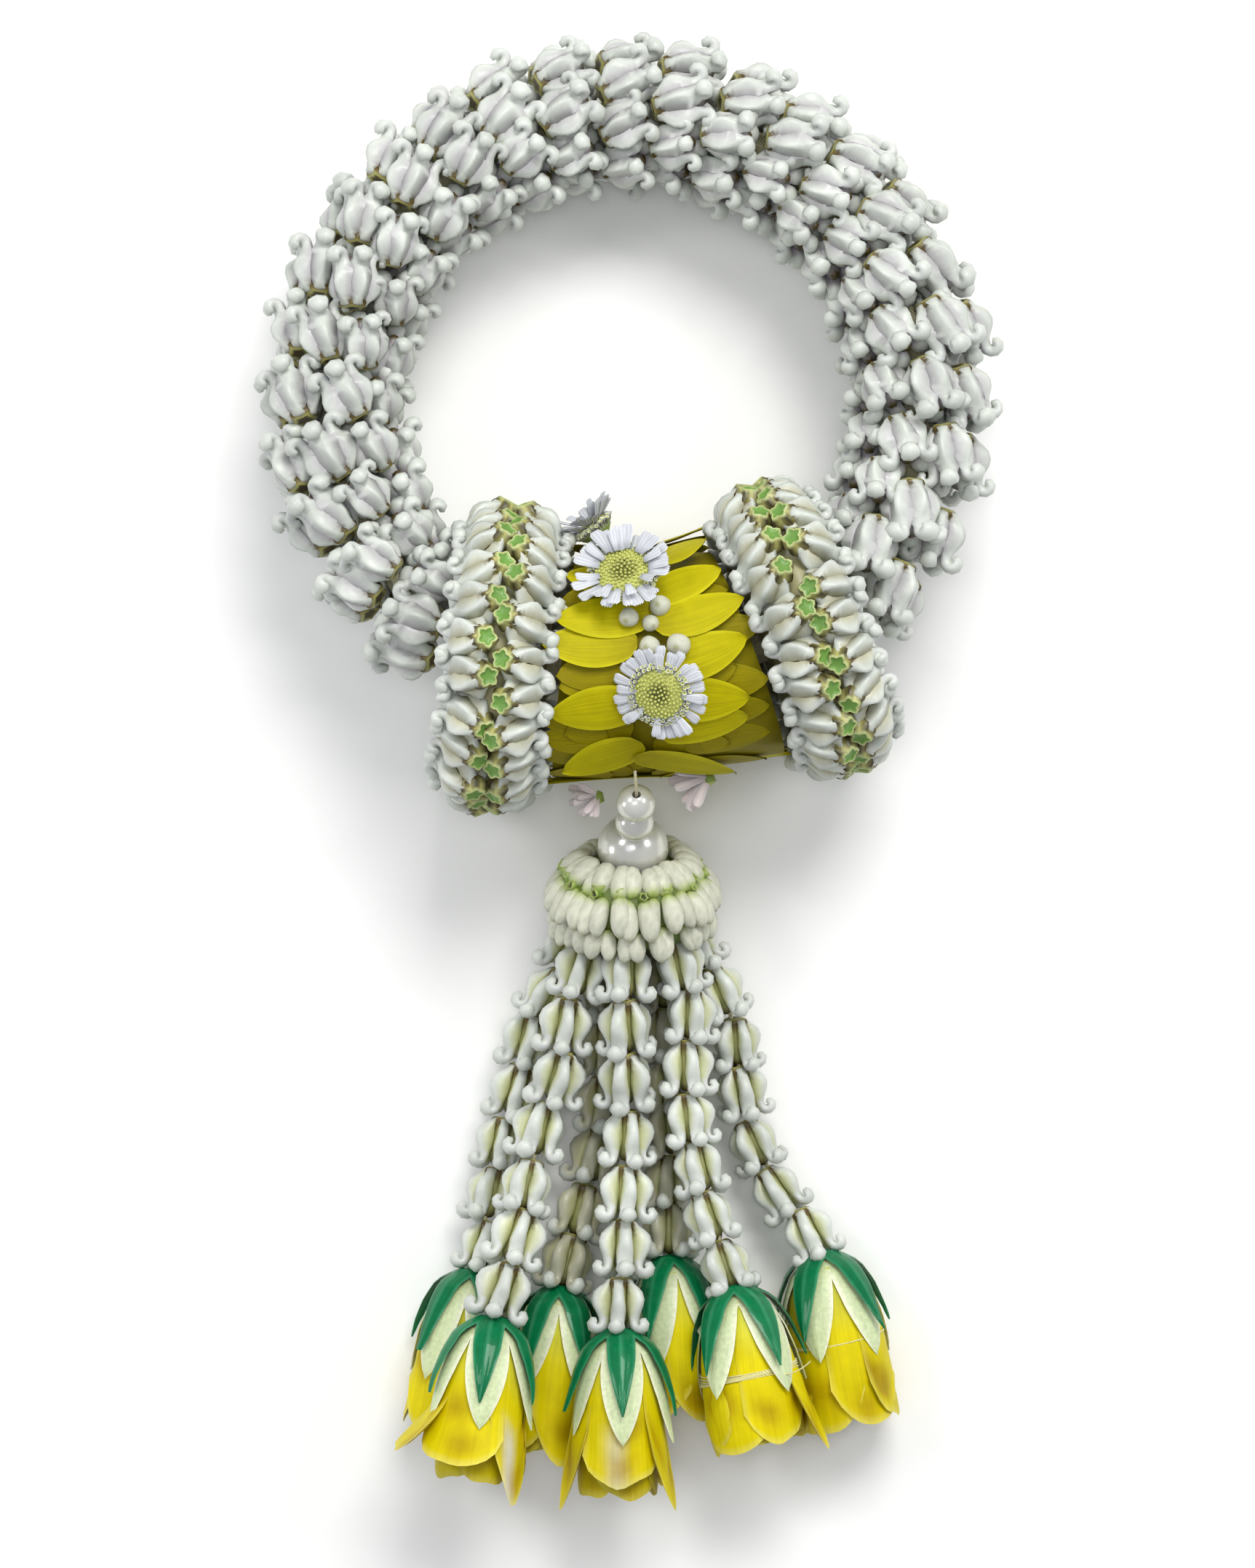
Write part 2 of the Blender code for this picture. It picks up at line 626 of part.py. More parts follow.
def make_rose(number, top, end, mouth, materials, collection, parent):
    """A rose bud with its mouth outward, its calyx of pale sepals and the green star over them."""
    along = (end - top).normalized()
    start = top + along * ROSE_STEM
    length = (end - top).length - ROSE_STEM
    flare = (mouth - ROSE_BODY) / (length - ROSE_BODY_AT)
    sepal_tip = ROSE_BODY + flare * (SEPAL_LENGTH - ROSE_BODY_AT) + SEPAL_CLEAR

    def ring(lobes, rows, radius_tip, radius_notch, along_tip, along_notch, turned=0.0):
        points = []
        for i, point in enumerate(lobed_ring(Vector(), along, 1.0, 1.0, lobes * rows // 2, turned)):
            part = abs((i % rows) - rows / 2) / (rows / 2)
            points.append(
                start + point * (radius_tip + (radius_notch - radius_tip) * part)
                + along * (along_tip + (along_notch - along_tip) * part)
            )
        return points

    petals = [
        [start + along * 2.0],
        ring(6, 2, 5.6, 5.4, 5.2, 5.2),
        ring(6, 2, ROSE_BODY, ROSE_BODY - 0.4, ROSE_BODY_AT, ROSE_BODY_AT),
        ring(6, 2, mouth, mouth - 0.6, length, length - ROSE_NOTCH),
        ring(6, 2, mouth - 1.4, mouth - 1.9, length - 1.0, length - ROSE_NOTCH - 1.0),
        [start + along * (length - 9.0)],
    ]
    skin(f"rose_{number + 1}_petals", petals, materials["rose"], collection, parent)
    sepals = [
        [start + along * 0.8],
        ring(5, 4, 6.8, 6.6, 3.8, 4.6),
        ring(5, 4, sepal_tip + 0.7, 8.2, SEPAL_LENGTH, 8.0),
        ring(5, 4, sepal_tip, 7.4, SEPAL_LENGTH, 8.4),
        ring(5, 4, 6.2, 6.0, 4.8, 5.4),
        [start + along * 1.7],
    ]
    skin(f"rose_{number + 1}_sepals", sepals, materials["sepal"], collection, parent)
    star = [
        [start - along * 1.2],
        ring(5, 4, 7.6, 5.2, 2.1, 0.9),
        ring(5, 4, 11.4, 6.5, 14.3, 1.9),
        ring(5, 4, 10.8, 6.1, 14.5, 2.4),
        ring(5, 4, 7.2, 4.9, 2.7, 1.7),
        [start - along * 0.4],
    ]
    skin(f"rose_{number + 1}_star", star, materials["green"], collection, parent)


def centre_on_origin(parent, collection):
    """Puts the middle of the garland's box over the origin, with its underside at z = 0."""
    bpy.context.view_layer.update()
    graph = bpy.context.evaluated_depsgraph_get()
    low, high = Vector((math.inf,) * 3), Vector((-math.inf,) * 3)
    for obj in collection.objects:
        if obj.type == "EMPTY":
            continue
        evaluated = obj.evaluated_get(graph)
        mesh = evaluated.to_mesh()
        for vertex in mesh.vertices:
            point = evaluated.matrix_world @ vertex.co
            low = Vector(map(min, low, point))
            high = Vector(map(max, high, point))
        evaluated.to_mesh_clear()
    middle = (low + high) / 2
    parent.location = (-middle.x, -middle.y, 0)


def main():
    clear_scene()
    garland = new_collection("hand_garland")
    parent = bpy.data.objects.new("garland_centre", None)
    garland.objects.link(parent)
    crown = make_material("crown_flower", (0.80, 0.82, 0.76), 0.45)
    cotton = make_material("cotton", (0.75, 0.72, 0.62), 0.9)
    yellow = make_material("yellow_petal", (0.78, 0.66, 0.01), 0.5)
    daisy = make_material("daisy", (0.82, 0.83, 0.85), 0.6)
    pearl = make_material("pearl", (0.85, 0.84, 0.80), 0.15)
    jasmine = make_material("jasmine_bud", (0.72, 0.70, 0.55), 0.5)
    roses = {
        "rose": make_material("rose_petal", (0.85, 0.72, 0.02), 0.5),
        "sepal": make_material("sepal", (0.60, 0.68, 0.42), 0.5),
        "green": make_material("green_star", (0.0, 0.20, 0.07), 0.25),
    }

    rope_turns = make_rope(crown, garland, parent)
    make_cord(rope_turns, cotton, garland, parent)
    make_collar(0, "collar_left", crown, garland, parent)
    make_collar(1, "collar_right", crown, garland, parent)
    band = make_band(yellow, garland, parent)

    for name, share, angle, radius, rays, droop in DAISIES:
        head = make_daisy(name, radius, rays, droop, daisy, garland, parent)
        seat_on_band(head, band, share, angle)
    for number, (share, angle, radius) in enumerate(WHITE_BUDS):
        bud = make_ball(f"white_bud_{number + 1}", radius, jasmine, garland, parent)
        seat_on_band(bud, band, share, angle)

    make_cap(jasmine, garland, parent)
    cap_axis, _, _ = cap_directions()
    large = CAP_CENTRE + cap_axis * PEARL_SEAT
    middle = large + PEARL_RISE * (PEARL_LARGE + PEARL_SMALL + GAP)
    upper = middle + PEARL_RISE * (2 * PEARL_SMALL + GAP)
    make_pearl("pearl_large", PEARL_LARGE, large, PEARL_RISE, 16, pearl, garland, parent)
    make_pearl("pearl_middle", PEARL_SMALL, middle, PEARL_RISE, 12, pearl, garland, parent)
    make_pearl("pearl_upper", PEARL_SMALL, upper, PEARL_RISE, 12, pearl, garland, parent)
    bend = upper + PEARL_RISE * (PEARL_SMALL + 1.2)
    foot = large - PEARL_RISE * (PEARL_LARGE - 1.4)
    make_thread("pearl_thread", [upper + THREAD_END, bend, foot], THREAD_RADIUS, cotton, garland, parent)

    for number, (points, end, mouth) in enumerate(zip(STRING_POINTS, ROSE_ENDS, ROSE_MOUTHS)):
        make_string(number, points, crown, garland, parent)
        make_rose(number, Vector(points[-1]), Vector(end), mouth, roses, garland, parent)
    centre_on_origin(parent, garland)


main()
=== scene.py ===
"""Looks of the hand garland: its flowers, petals, buds and pearls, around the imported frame.

Sizes and places are in millimetres, in the garland's own axes: X runs to the right and Y up the picture
from the middle of the ring, and Z up from the surface that the garland lies on. A mesh is moved to the
frame, in metres, when it is made.
"""

import json
import math
import random

import bmesh
import bpy
from mathutils import Matrix, Quaternion, Vector

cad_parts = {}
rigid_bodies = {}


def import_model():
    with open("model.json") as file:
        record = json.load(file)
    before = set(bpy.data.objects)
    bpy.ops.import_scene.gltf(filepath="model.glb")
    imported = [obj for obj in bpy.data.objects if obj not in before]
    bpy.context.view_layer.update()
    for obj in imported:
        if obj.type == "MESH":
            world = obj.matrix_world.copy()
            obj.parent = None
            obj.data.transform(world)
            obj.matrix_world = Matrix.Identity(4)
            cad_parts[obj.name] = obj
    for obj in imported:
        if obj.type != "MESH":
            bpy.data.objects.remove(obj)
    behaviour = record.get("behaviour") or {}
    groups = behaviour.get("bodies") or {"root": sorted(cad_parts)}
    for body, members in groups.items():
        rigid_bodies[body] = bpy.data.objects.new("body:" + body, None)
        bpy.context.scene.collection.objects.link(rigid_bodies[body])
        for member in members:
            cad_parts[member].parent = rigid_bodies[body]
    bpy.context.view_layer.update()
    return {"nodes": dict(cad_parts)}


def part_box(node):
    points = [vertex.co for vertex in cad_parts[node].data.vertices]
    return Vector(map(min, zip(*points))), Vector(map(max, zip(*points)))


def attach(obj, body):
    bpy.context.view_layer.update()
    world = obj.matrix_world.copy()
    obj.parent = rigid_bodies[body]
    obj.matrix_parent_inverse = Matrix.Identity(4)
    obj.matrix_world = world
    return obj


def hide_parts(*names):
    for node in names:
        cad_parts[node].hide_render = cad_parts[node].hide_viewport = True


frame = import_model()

MM = 0.001
X, Y, UP = Vector((1, 0, 0)), Vector((0, 1, 0)), Vector((0, 0, 1))

# The picture: straight down, with 0.15 mm to a pixel of 1725 x 2156 at the middle of the flowers
CAMERA_AWAY = 950.0
VIEW_LENGTH = 323.4
VIEW_MIDDLE = (0.0, -79.5, 27.0)
SENSOR = 36.0

# The ring and its collars, as in the part. A turn is an angle in degrees from straight down the picture.
RING_RADIUS = 60.2
RING_DIP = 5.0
DIP_TURN, DIP_REACH = 5.5, 33.0
RING_TILT = 7.1
RING_HEIGHT = 24.7
STRANDS, LAYERS, SECTORS = 7, 24, 8
LAYER_TWIST = 30.0
COLLAR_TURNS = (-25.4, 37.1)
COLLAR_HEADINGS = (-6.0, 20.5)
COLLAR_FLAT = (13.6, 12.6)
REJOIN = 30.0
COLLAR_HALF = 12.0
COLLAR_CROWNS = 22
ROPE_START = 1.2
BAND_RADIUS = 22.8
BAND_START = 0.9
RING_PLACE = Matrix.Translation((0, 0, RING_HEIGHT)) @ Matrix.Rotation(math.radians(-RING_TILT), 4, "X")

# Cap, pearls, strings and roses, as in the part
CAP_CENTRE = Vector((1.1, -104.8, 17.3))
CAP_TILT = math.radians(20)
CAP_AXIS = Vector((0, math.cos(CAP_TILT), math.sin(CAP_TILT)))
CAP_TOP = Vector((0, -math.sin(CAP_TILT), math.cos(CAP_TILT)))
PEARL_SMALL, PEARL_LARGE = 3.95, 7.4
PEARL_BORE, THREAD_RADIUS, PEARL_SEAT, GAP = 0.9, 0.45, 12.7, 0.3
PEARL_RISE = Vector((0.03, 0.4736, 0.8802)).normalized()
STRING_CROWNS = 7
STRING_POINTS = (
    ((-9.7, -110.4, 12.5), (-20.2, -129.5, 8.2), (-26.0, -153.0, 6.2), (-32.0, -181.0, 8.6)),
    ((-8.2, -113.6, 20.4), (-12.5, -129.0, 20.2), (-18.4, -153.0, 18.6), (-27.6, -188.6, 27.2)),
    ((-3.9, -107.5, 6.9), (-4.5, -128.0, 6.1), (-5.8, -153.0, 6.2), (-14.2, -184.4, 8.8)),
    ((1.0, -113.9, 24.6), (-0.2, -129.0, 24.0), (0.1, -153.0, 19.6), (-1.5, -191.6, 23.2)),
    ((6.0, -107.5, 6.9), (8.0, -128.0, 6.1), (9.4, -153.0, 6.2), (8.9, -178.0, 8.8)),
    ((10.4, -113.6, 20.4), (12.9, -129.0, 20.0), (13.2, -153.0, 18.6), (21.9, -182.9, 21.8)),
    ((11.8, -110.5, 13.2), (21.6, -128.0, 9.6), (26.0, -153.0, 6.2), (40.4, -177.0, 8.8)),
)
ROSE_ENDS = (
    (-38.0, -216.0, 10.0),
    (-32.3, -226.0, 29.7),
    (-16.4, -218.7, 10.0),
    (-1.7, -227.0, 25.0),
    (11.0, -211.0, 10.0),
    (28.0, -217.5, 23.7),
    (46.9, -213.0, 10.0),
)
ROSE_STEM = 1.5

# One lobe of a crown, from the head down to the curl. The head is at a height of 11.5 and the curls at 0.
LOBE = (
    # radius, height, reach to the keel, reach inward, half thickness at keel, middle and root
    (1.5, 11.5, 0.35, 0.35, 0.75, 0.70, 0.45),
    (2.0, 11.2, 0.65, 0.60, 1.05, 0.90, 0.80),
    (2.3, 10.4, 0.95, 0.80, 0.72, 0.70, 1.00),
    (2.7, 9.5, 1.50, 1.20, 0.60, 0.62, 1.25),
    (3.1, 8.5, 2.05, 1.60, 0.62, 0.62, 1.50),
    (3.3, 7.5, 2.25, 1.80, 0.70, 0.66, 1.65),
    (3.25, 6.5, 2.05, 1.75, 0.80, 0.74, 1.70),
    (3.15, 5.5, 1.65, 1.60, 0.90, 0.90, 1.60),
    (3.1, 4.6, 1.30, 1.40, 1.00, 1.05, 1.45),
    (3.1, 3.8, 1.10, 1.25, 1.15, 1.25, 1.35),
    (3.2, 3.0, 1.00, 1.25, 1.32, 1.55, 1.40),
    (3.55, 2.25, 0.90, 1.25, 1.40, 1.75, 1.50),
    (4.15, 1.85, 0.90, 1.25, 1.45, 1.85, 1.55),
    (4.8, 1.8, 0.90, 1.25, 1.45, 1.85, 1.55),
    (5.3, 2.15, 0.90, 1.2, 1.40, 1.75, 1.50),
    (5.5, 2.75, 0.85, 1.1, 1.20, 1.55, 1.30),
    (5.2, 3.3, 0.75, 0.9, 0.95, 1.20, 1.00),
    (4.7, 3.4, 0.40, 0.55, 0.55, 0.70, 0.60),
)
CROWN_HEIGHT = 11.5
PRESSED = 1.5  # height over the table within which soft parts are pressed flatter
THREAD_SIDES = 8
FLOOR_HALF, FLOOR_GAP = 1.6, 0.0006  # in metres


def srgb(code):
    """Linear colour of an sRGB hex value."""
    parts = [int(code[i : i + 2], 16) / 255 for i in (1, 3, 5)]
    return Vector([p / 12.92 if p <= 0.04045 else ((p + 0.055) / 1.055) ** 2.4 for p in parts])


def ease(value, low, high):
    return min(max((value - low) / (high - low), 0.0), 1.0)


def about(axis, degrees):
    return Quaternion(axis, math.radians(degrees))


def jitter(rng, reach):
    return Vector([rng.uniform(-reach, reach) for _ in range(3)])


PEARL_CENTRE = CAP_CENTRE + CAP_AXIS * PEARL_SEAT
FRAME_SHIFT = sum(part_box("pearl_large"), Vector()) / 2 - PEARL_CENTRE * MM


# Camera, light and nodes

DAYLIGHT = 0.47
LIGHTS = (
    # name, place, aim, size, watts and colour. The lamps show as soft spots on the pearls.
    ("window", (0.30, 0.95, 1.22), (0, 0.0, 0), (0.75, 0.6), 16.7, "#FFFEFA"),
    ("lamp_1", (0.0, 0.03, 1.06), (0, -0.08, 0.02), (0.17, 0.17), 0.9, "#FFFFFF"),
    ("lamp_2", (0.87, 0.31, 0.77), (0, -0.08, 0.02), (0.3, 0.3), 2.4, "#FFFFFF"),
    ("lamp_3", (-0.67, 0.38, 0.92), (0, -0.08, 0.02), (0.28, 0.28), 2.1, "#FFFFFF"),
    ("lamp_4", (-1.15, -0.1, 0.38), (0, -0.08, 0.02), (0.3, 0.3), 2.0, "#FFFFFF"),
    ("fill", (-0.25, 0.0, 1.1), (0, -0.02, 0), (0.35, 0.35), 0.7, "#F6F9FF"),
)


def new_object(name, data):
    obj = bpy.data.objects.new(name, data)
    bpy.context.scene.collection.objects.link(obj)
    return obj


def make_camera():
    data = bpy.data.cameras.new("camera")
    data.sensor_width = SENSOR
    data.lens = SENSOR * CAMERA_AWAY / VIEW_LENGTH
    data.clip_end = 10
    camera = new_object("camera", data)
    camera.location = Vector(VIEW_MIDDLE) * MM + FRAME_SHIFT + UP * CAMERA_AWAY * MM
    bpy.context.scene.camera = camera


def make_light():
    world = bpy.data.worlds.new("soft daylight")
    world.use_nodes = True
    background = world.node_tree.nodes["Background"]
    background.inputs["Color"].default_value = (*srgb("#F4F6FA"), 1)
    background.inputs["Strength"].default_value = DAYLIGHT
    bpy.context.scene.world = world
    bpy.context.scene.view_settings.view_transform = "Standard"
    for name, place, aim, size, watts, colour in LIGHTS:
        data = bpy.data.lights.new(name, "AREA")
        data.shape = "RECTANGLE"
        data.size, data.size_y = size
        data.energy = watts
        data.color = srgb(colour)
        light = new_object(name, data)
        light.location = place
        light.rotation_euler = (Vector(aim) - Vector(place)).to_track_quat("-Z", "Y").to_euler()


def add_node(tree, kind, inputs=None, **settings):
    """Adds a node. An input is given by its name or number, as a value or as another node's output."""
    node = tree.nodes.new(kind)
    for key, value in settings.items():
        setattr(node, key, value)
    for socket, value in (inputs or {}).items():
        if isinstance(value, bpy.types.NodeSocket):
            tree.links.new(value, node.inputs[socket])
        else:
            node.inputs[socket].default_value = value
    return node


def new_material(name, **shader_inputs):
    material = bpy.data.materials.new(name)
    material.use_nodes = True
    tree = material.node_tree
    shader = tree.nodes["Principled BSDF"]
    for socket, value in shader_inputs.items():
        words = [word if word.isupper() else word.capitalize() for word in socket.split("_")]
        shader.inputs[" ".join(words)].default_value = value
    return material, tree, shader


def mixed(tree, share, first, second):
    """Output between two colours, each given as a hex value or as another node's output."""
    ends = [(*srgb(end), 1) if isinstance(end, str) else end for end in (first, second)]
    return add_node(tree, "ShaderNodeMix", {0: share, 6: ends[0], 7: ends[1]}, data_type="RGBA").outputs[2]


def maths(tree, operation, *values):
    return add_node(tree, "ShaderNodeMath", dict(enumerate(values)), operation=operation).outputs[0]


def noise(tree, scale, detail):
    """Patches through the solid, so many to the metre."""
    solid = add_node(tree, "ShaderNodeTexCoord")
    inputs = {"Vector": solid.outputs["Object"], "Scale": scale, "Detail": detail}
    return add_node(tree, "ShaderNodeTexNoise", inputs).outputs["Fac"]


def shade(tree, value, depth):
    """1 where a noise is high, and less by the depth where it is low."""
    return add_node(tree, "ShaderNodeMapRange", {
        "Value": value, "From Min": 0.3, "From Max": 0.7, "To Min": 1 - depth, "To Max": 1.0,
    }).outputs[0]


# Small closed shapes, each point with its paint and with its place on the petal


class Form:
    """Points in millimetres with their paint and grain, and faces, of one or more closed shapes."""

    def __init__(self):
        self.points, self.paint, self.grain, self.faces = [], [], [], []

    def point(self, place, paint, grain=(0.0, 0.0, 0.0)):
        self.points.append(Vector(place))
        self.paint.append(Vector(paint))
        self.grain.append(grain)
        return len(self.points) - 1

    def loft(self, rings):
        """Faces from ring to ring; a ring of one point is a pole."""
        for first, second in zip(rings, rings[1:]):
            count = max(len(first), len(second))
            for i in range(count):
                j = (i + 1) % count
                if len(first) == 1:
                    self.faces.append((first[0], second[j], second[i]))
                elif len(second) == 1:
                    self.faces.append((first[i], first[j], second[0]))
                else:
                    self.faces.append((first[i], first[j], second[j], second[i]))

    def add(self, other, place=Matrix()):
        first = len(self.points)
        self.points += [place @ point for point in other.points]
        self.paint += other.paint
        self.grain += other.grain
        self.faces += [tuple(first + i for i in face) for face in other.faces]

    def mesh(self, name, shift=Vector()):
        mesh = bpy.data.meshes.new(name)
        mesh.from_pydata([point * MM + shift for point in self.points], [], self.faces)
        paint = mesh.attributes.new("paint", "FLOAT_COLOR", "POINT")
        paint.data.foreach_set("color", [part for colour in self.paint for part in (*colour, 1.0)])
        grain = mesh.attributes.new("grain", "FLOAT_VECTOR", "POINT")
        grain.data.foreach_set("vector", [part for place in self.grain for part in place])
        bm = bmesh.new()
        bm.from_mesh(mesh)
        bmesh.ops.recalc_face_normals(bm, faces=bm.faces)
        bm.to_mesh(mesh)
        bm.free()
        mesh.shade_smooth()
        mesh.set_sharp_from_angle(angle=math.radians(100))
        return mesh


def ringed(stations, sides, point):
    """A closed shape of rings. A station starts with its radius, and is a pole where that is 0.

    point(i, *station) gives the place and paint of a ring's point, and its grain if it has one.
    """
    form = Form()
    form.loft([
        [form.point(*point(i, *station)) for i in range(sides if station[0] else 1)] for station in stations
    ])
    return form


def turned(stations, sides, ripple=None):
    """A shape turned round Z from (radius, height, paint) stations."""

    def point(i, radius, height, paint):
        angle = 2 * math.pi * i / sides
        reach = radius * (ripple(angle, height) if ripple else 1.0)
        return (reach * math.cos(angle), reach * math.sin(angle), height), paint, (angle, height, 0)

    return ringed(stations, sides, point)


def sheet(surface, columns, rows, thickness, paint, back=None):
    """A petal whose middle is surface(across, along), for across from -1 to 1 and along from 0 to 1.

    Its back is mixed with a colour of its own, if one is given.
    """
    form = Form()
    step = 0.01
    faces_up, faces_down = [], []
    for row in range(rows + 1):
        along = row / rows
        upper, lower = [], []
        for column in range(columns + 1):
            across = 2 * column / columns - 1
            middle = surface(across, along)
            sideways = surface(across + step, along) - surface(across - step, along)
            onward = surface(across, along + step) - surface(across, along - step)
            half = sideways.cross(onward).normalized() * thickness / 2
            colour, grain = paint(across, along), (across, along, 0.0)
            if row in (0, rows) or column in (0, columns):
                edge = form.point(middle, colour, grain)
                upper.append(edge)
                lower.append(edge)
            else:
                upper.append(form.point(middle + half, colour, grain))
                inner = colour.lerp(back, 0.75) if back else colour
                lower.append(form.point(middle - half, inner, grain))
        faces_up.append(upper)
        faces_down.append(lower)
    for rows_of, flip in ((faces_up, False), (faces_down, True)):
        for first, second in zip(rows_of, rows_of[1:]):
            for i in range(columns):
                face = (first[i], first[i + 1], second[i + 1], second[i])
                form.faces.append(tuple(reversed(face)) if flip else face)
    return form


# Copies at spots, and threads along paths, with geometry nodes


def new_tree(name, **sockets):
    """A geometry node tree with named inputs, and the outputs that give them."""
    tree = bpy.data.node_groups.new(name, "GeometryNodeTree")
    for socket, kind in {"Geometry": "Geometry", **sockets, "Finish": "Material"}.items():
        tree.interface.new_socket(socket, in_out="INPUT", socket_type=f"NodeSocket{kind}")
    tree.interface.new_socket("Geometry", in_out="OUTPUT", socket_type="NodeSocketGeometry")
    return tree, add_node(tree, "NodeGroupInput").outputs


def close_tree(tree, given, made):
    """Makes what a node gives real, sets its material and puts it out."""
    real = add_node(tree, "GeometryNodeRealizeInstances", {"Geometry": made.outputs[0]})
    inputs = {"Geometry": real.outputs[0], "Material": given["Finish"]}
    add_node(tree, "NodeGroupOutput", {0: add_node(tree, "GeometryNodeSetMaterial", inputs).outputs[0]})
    return tree


def copies_tree():
    """Stands one of the kinds on every spot, turned and sized as the spot says."""
    tree, given = new_tree("copies at spots", Kinds="Collection")
    kinds = add_node(tree, "GeometryNodeCollectionInfo", {"Collection": given["Kinds"], 1: True, 2: True})
    turn, size, pick = (
        add_node(tree, "GeometryNodeInputNamedAttribute", {"Name": name}, data_type=kind).outputs["Attribute"]
        for name, kind in (("turn", "QUATERNION"), ("size", "FLOAT_VECTOR"), ("pick", "INT"))
    )
    return close_tree(tree, given, add_node(tree, "GeometryNodeInstanceOnPoints", {
        "Points": given["Geometry"], "Instance": kinds.outputs[0], "Pick Instance": True,
        "Instance Index": pick, "Rotation": turn, "Scale": size,
    }))


def thread_tree():
    """A round thread along each path."""
    tree, given = new_tree("thread along paths", Radius="Float")
    path = add_node(tree, "GeometryNodeMeshToCurve", {0: given["Geometry"]})
    inputs = {"Resolution": THREAD_SIDES, "Radius": given["Radius"]}
    section = add_node(tree, "GeometryNodeCurvePrimitiveCircle", inputs)
    return close_tree(tree, given, add_node(tree, "GeometryNodeCurveToMesh", {
        "Curve": path.outputs[0], "Profile Curve": section.outputs[0], "Fill Caps": True,
    }))


def grow(obj, tree, **inputs):
    """Runs a node tree on an object and keeps its result as a plain mesh."""
    modifier = obj.modifiers.new("grown", "NODES")
    modifier.node_group = tree
    for item in tree.interface.items_tree:
        if item.in_out == "INPUT" and item.name in inputs:
            modifier[item.identifier] = inputs[item.name]
    graph = bpy.context.evaluated_depsgraph_get()
    mesh = bpy.data.meshes.new_from_object(obj.evaluated_get(graph), depsgraph=graph)
    obj.modifiers.clear()
    obj.data = mesh
    for name in ("turn", "size", "pick"):
        if name in mesh.attributes:
            mesh.attributes.remove(mesh.attributes[name])
    settle(mesh)


def settle(mesh):
    """Presses what would reach below the table up against it, softly over the last millimetres."""
    places = [0.0] * (3 * len(mesh.vertices))
    mesh.vertices.foreach_get("co", places)
    rest = PRESSED * MM
    for i in range(2, len(places), 3):
        if places[i] < rest:
            places[i] = rest * math.exp(places[i] / rest - 1)
    mesh.vertices.foreach_set("co", places)
    mesh.update()


def declare(obj, nodes):
    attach(obj, "root")
    if nodes:
        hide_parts(*nodes)
    return obj


def facing(axis, toward):
    """Turn that points Z along the axis, and X as nearly as can be toward a direction."""
    axis = axis.normalized()
    toward = (toward - axis * toward.dot(axis)).normalized()
    return Matrix((toward, axis.cross(toward), axis)).transposed().to_quaternion()


def spot(place, axis, spin=0.0, size=1.0, pick=0, tint=0.0):
    """A place for a copy whose own Z points along the axis, turned by spin degrees round it."""
    turn = Vector(axis).to_track_quat("Z", "Y") @ about(UP, spin)
    sizes = (size, size, size) if isinstance(size, (int, float)) else size
    return Vector(place), turn, sizes, pick, tint


def turned_spot(rng, place, turn, size, kinds):
    """A place for one of the first few kinds, drawn by lot."""
    return place, turn, (size, size, size), rng.randrange(kinds), rng.uniform(-1, 1)


def as_made(pick):
    return Vector(), Quaternion(), (1, 1, 1), pick, 0.0


def copies(name, kinds, spots, material, nodes=()):
    """One piece of many copies. Kinds are forms, and a spot's pick says which of them stands there."""
    mesh = bpy.data.meshes.new(name)
    mesh.from_pydata([place * MM + FRAME_SHIFT for place, *_ in spots], [], [])
    columns = (
        ("turn", "QUATERNION", "value", [part for _, turn, *_ in spots for part in turn]),
        ("size", "FLOAT_VECTOR", "vector", [part for _, _, size, *_ in spots for part in size]),
        ("pick", "INT", "value", [pick for *_, pick, _ in spots]),
        ("tint", "FLOAT", "value", [tint for *_, tint in spots]),
    )
    for column, kind, key, values in columns:
        mesh.attributes.new(column, kind, "POINT").data.foreach_set(key, values)
    obj = new_object(name, mesh)
    shelf = bpy.data.collections.new("kinds")
    for number, form in enumerate(kinds):
        shelf.objects.link(bpy.data.objects.new(f"kind_{number:02d}", form.mesh("kind")))
    grow(obj, COPIES, Kinds=shelf, Finish=material)
    for kind in list(shelf.objects):
        bpy.data.meshes.remove(kind.data)
    bpy.data.collections.remove(shelf)
    return declare(obj, nodes)


def threads(name, paths, radius, material, nodes=()):
    points, edges = [], []
    for path in paths:
        edges += [(len(points) + i, len(points) + i + 1) for i in range(len(path) - 1)]
        points += [point * MM + FRAME_SHIFT for point in path]
    mesh = bpy.data.meshes.new(name)
    mesh.from_pydata(points, edges, [])
    obj = new_object(name, mesh)
    grow(obj, THREADS, Radius=radius * MM, Finish=material)
    obj.data.shade_smooth()
    return declare(obj, nodes)


# Materials


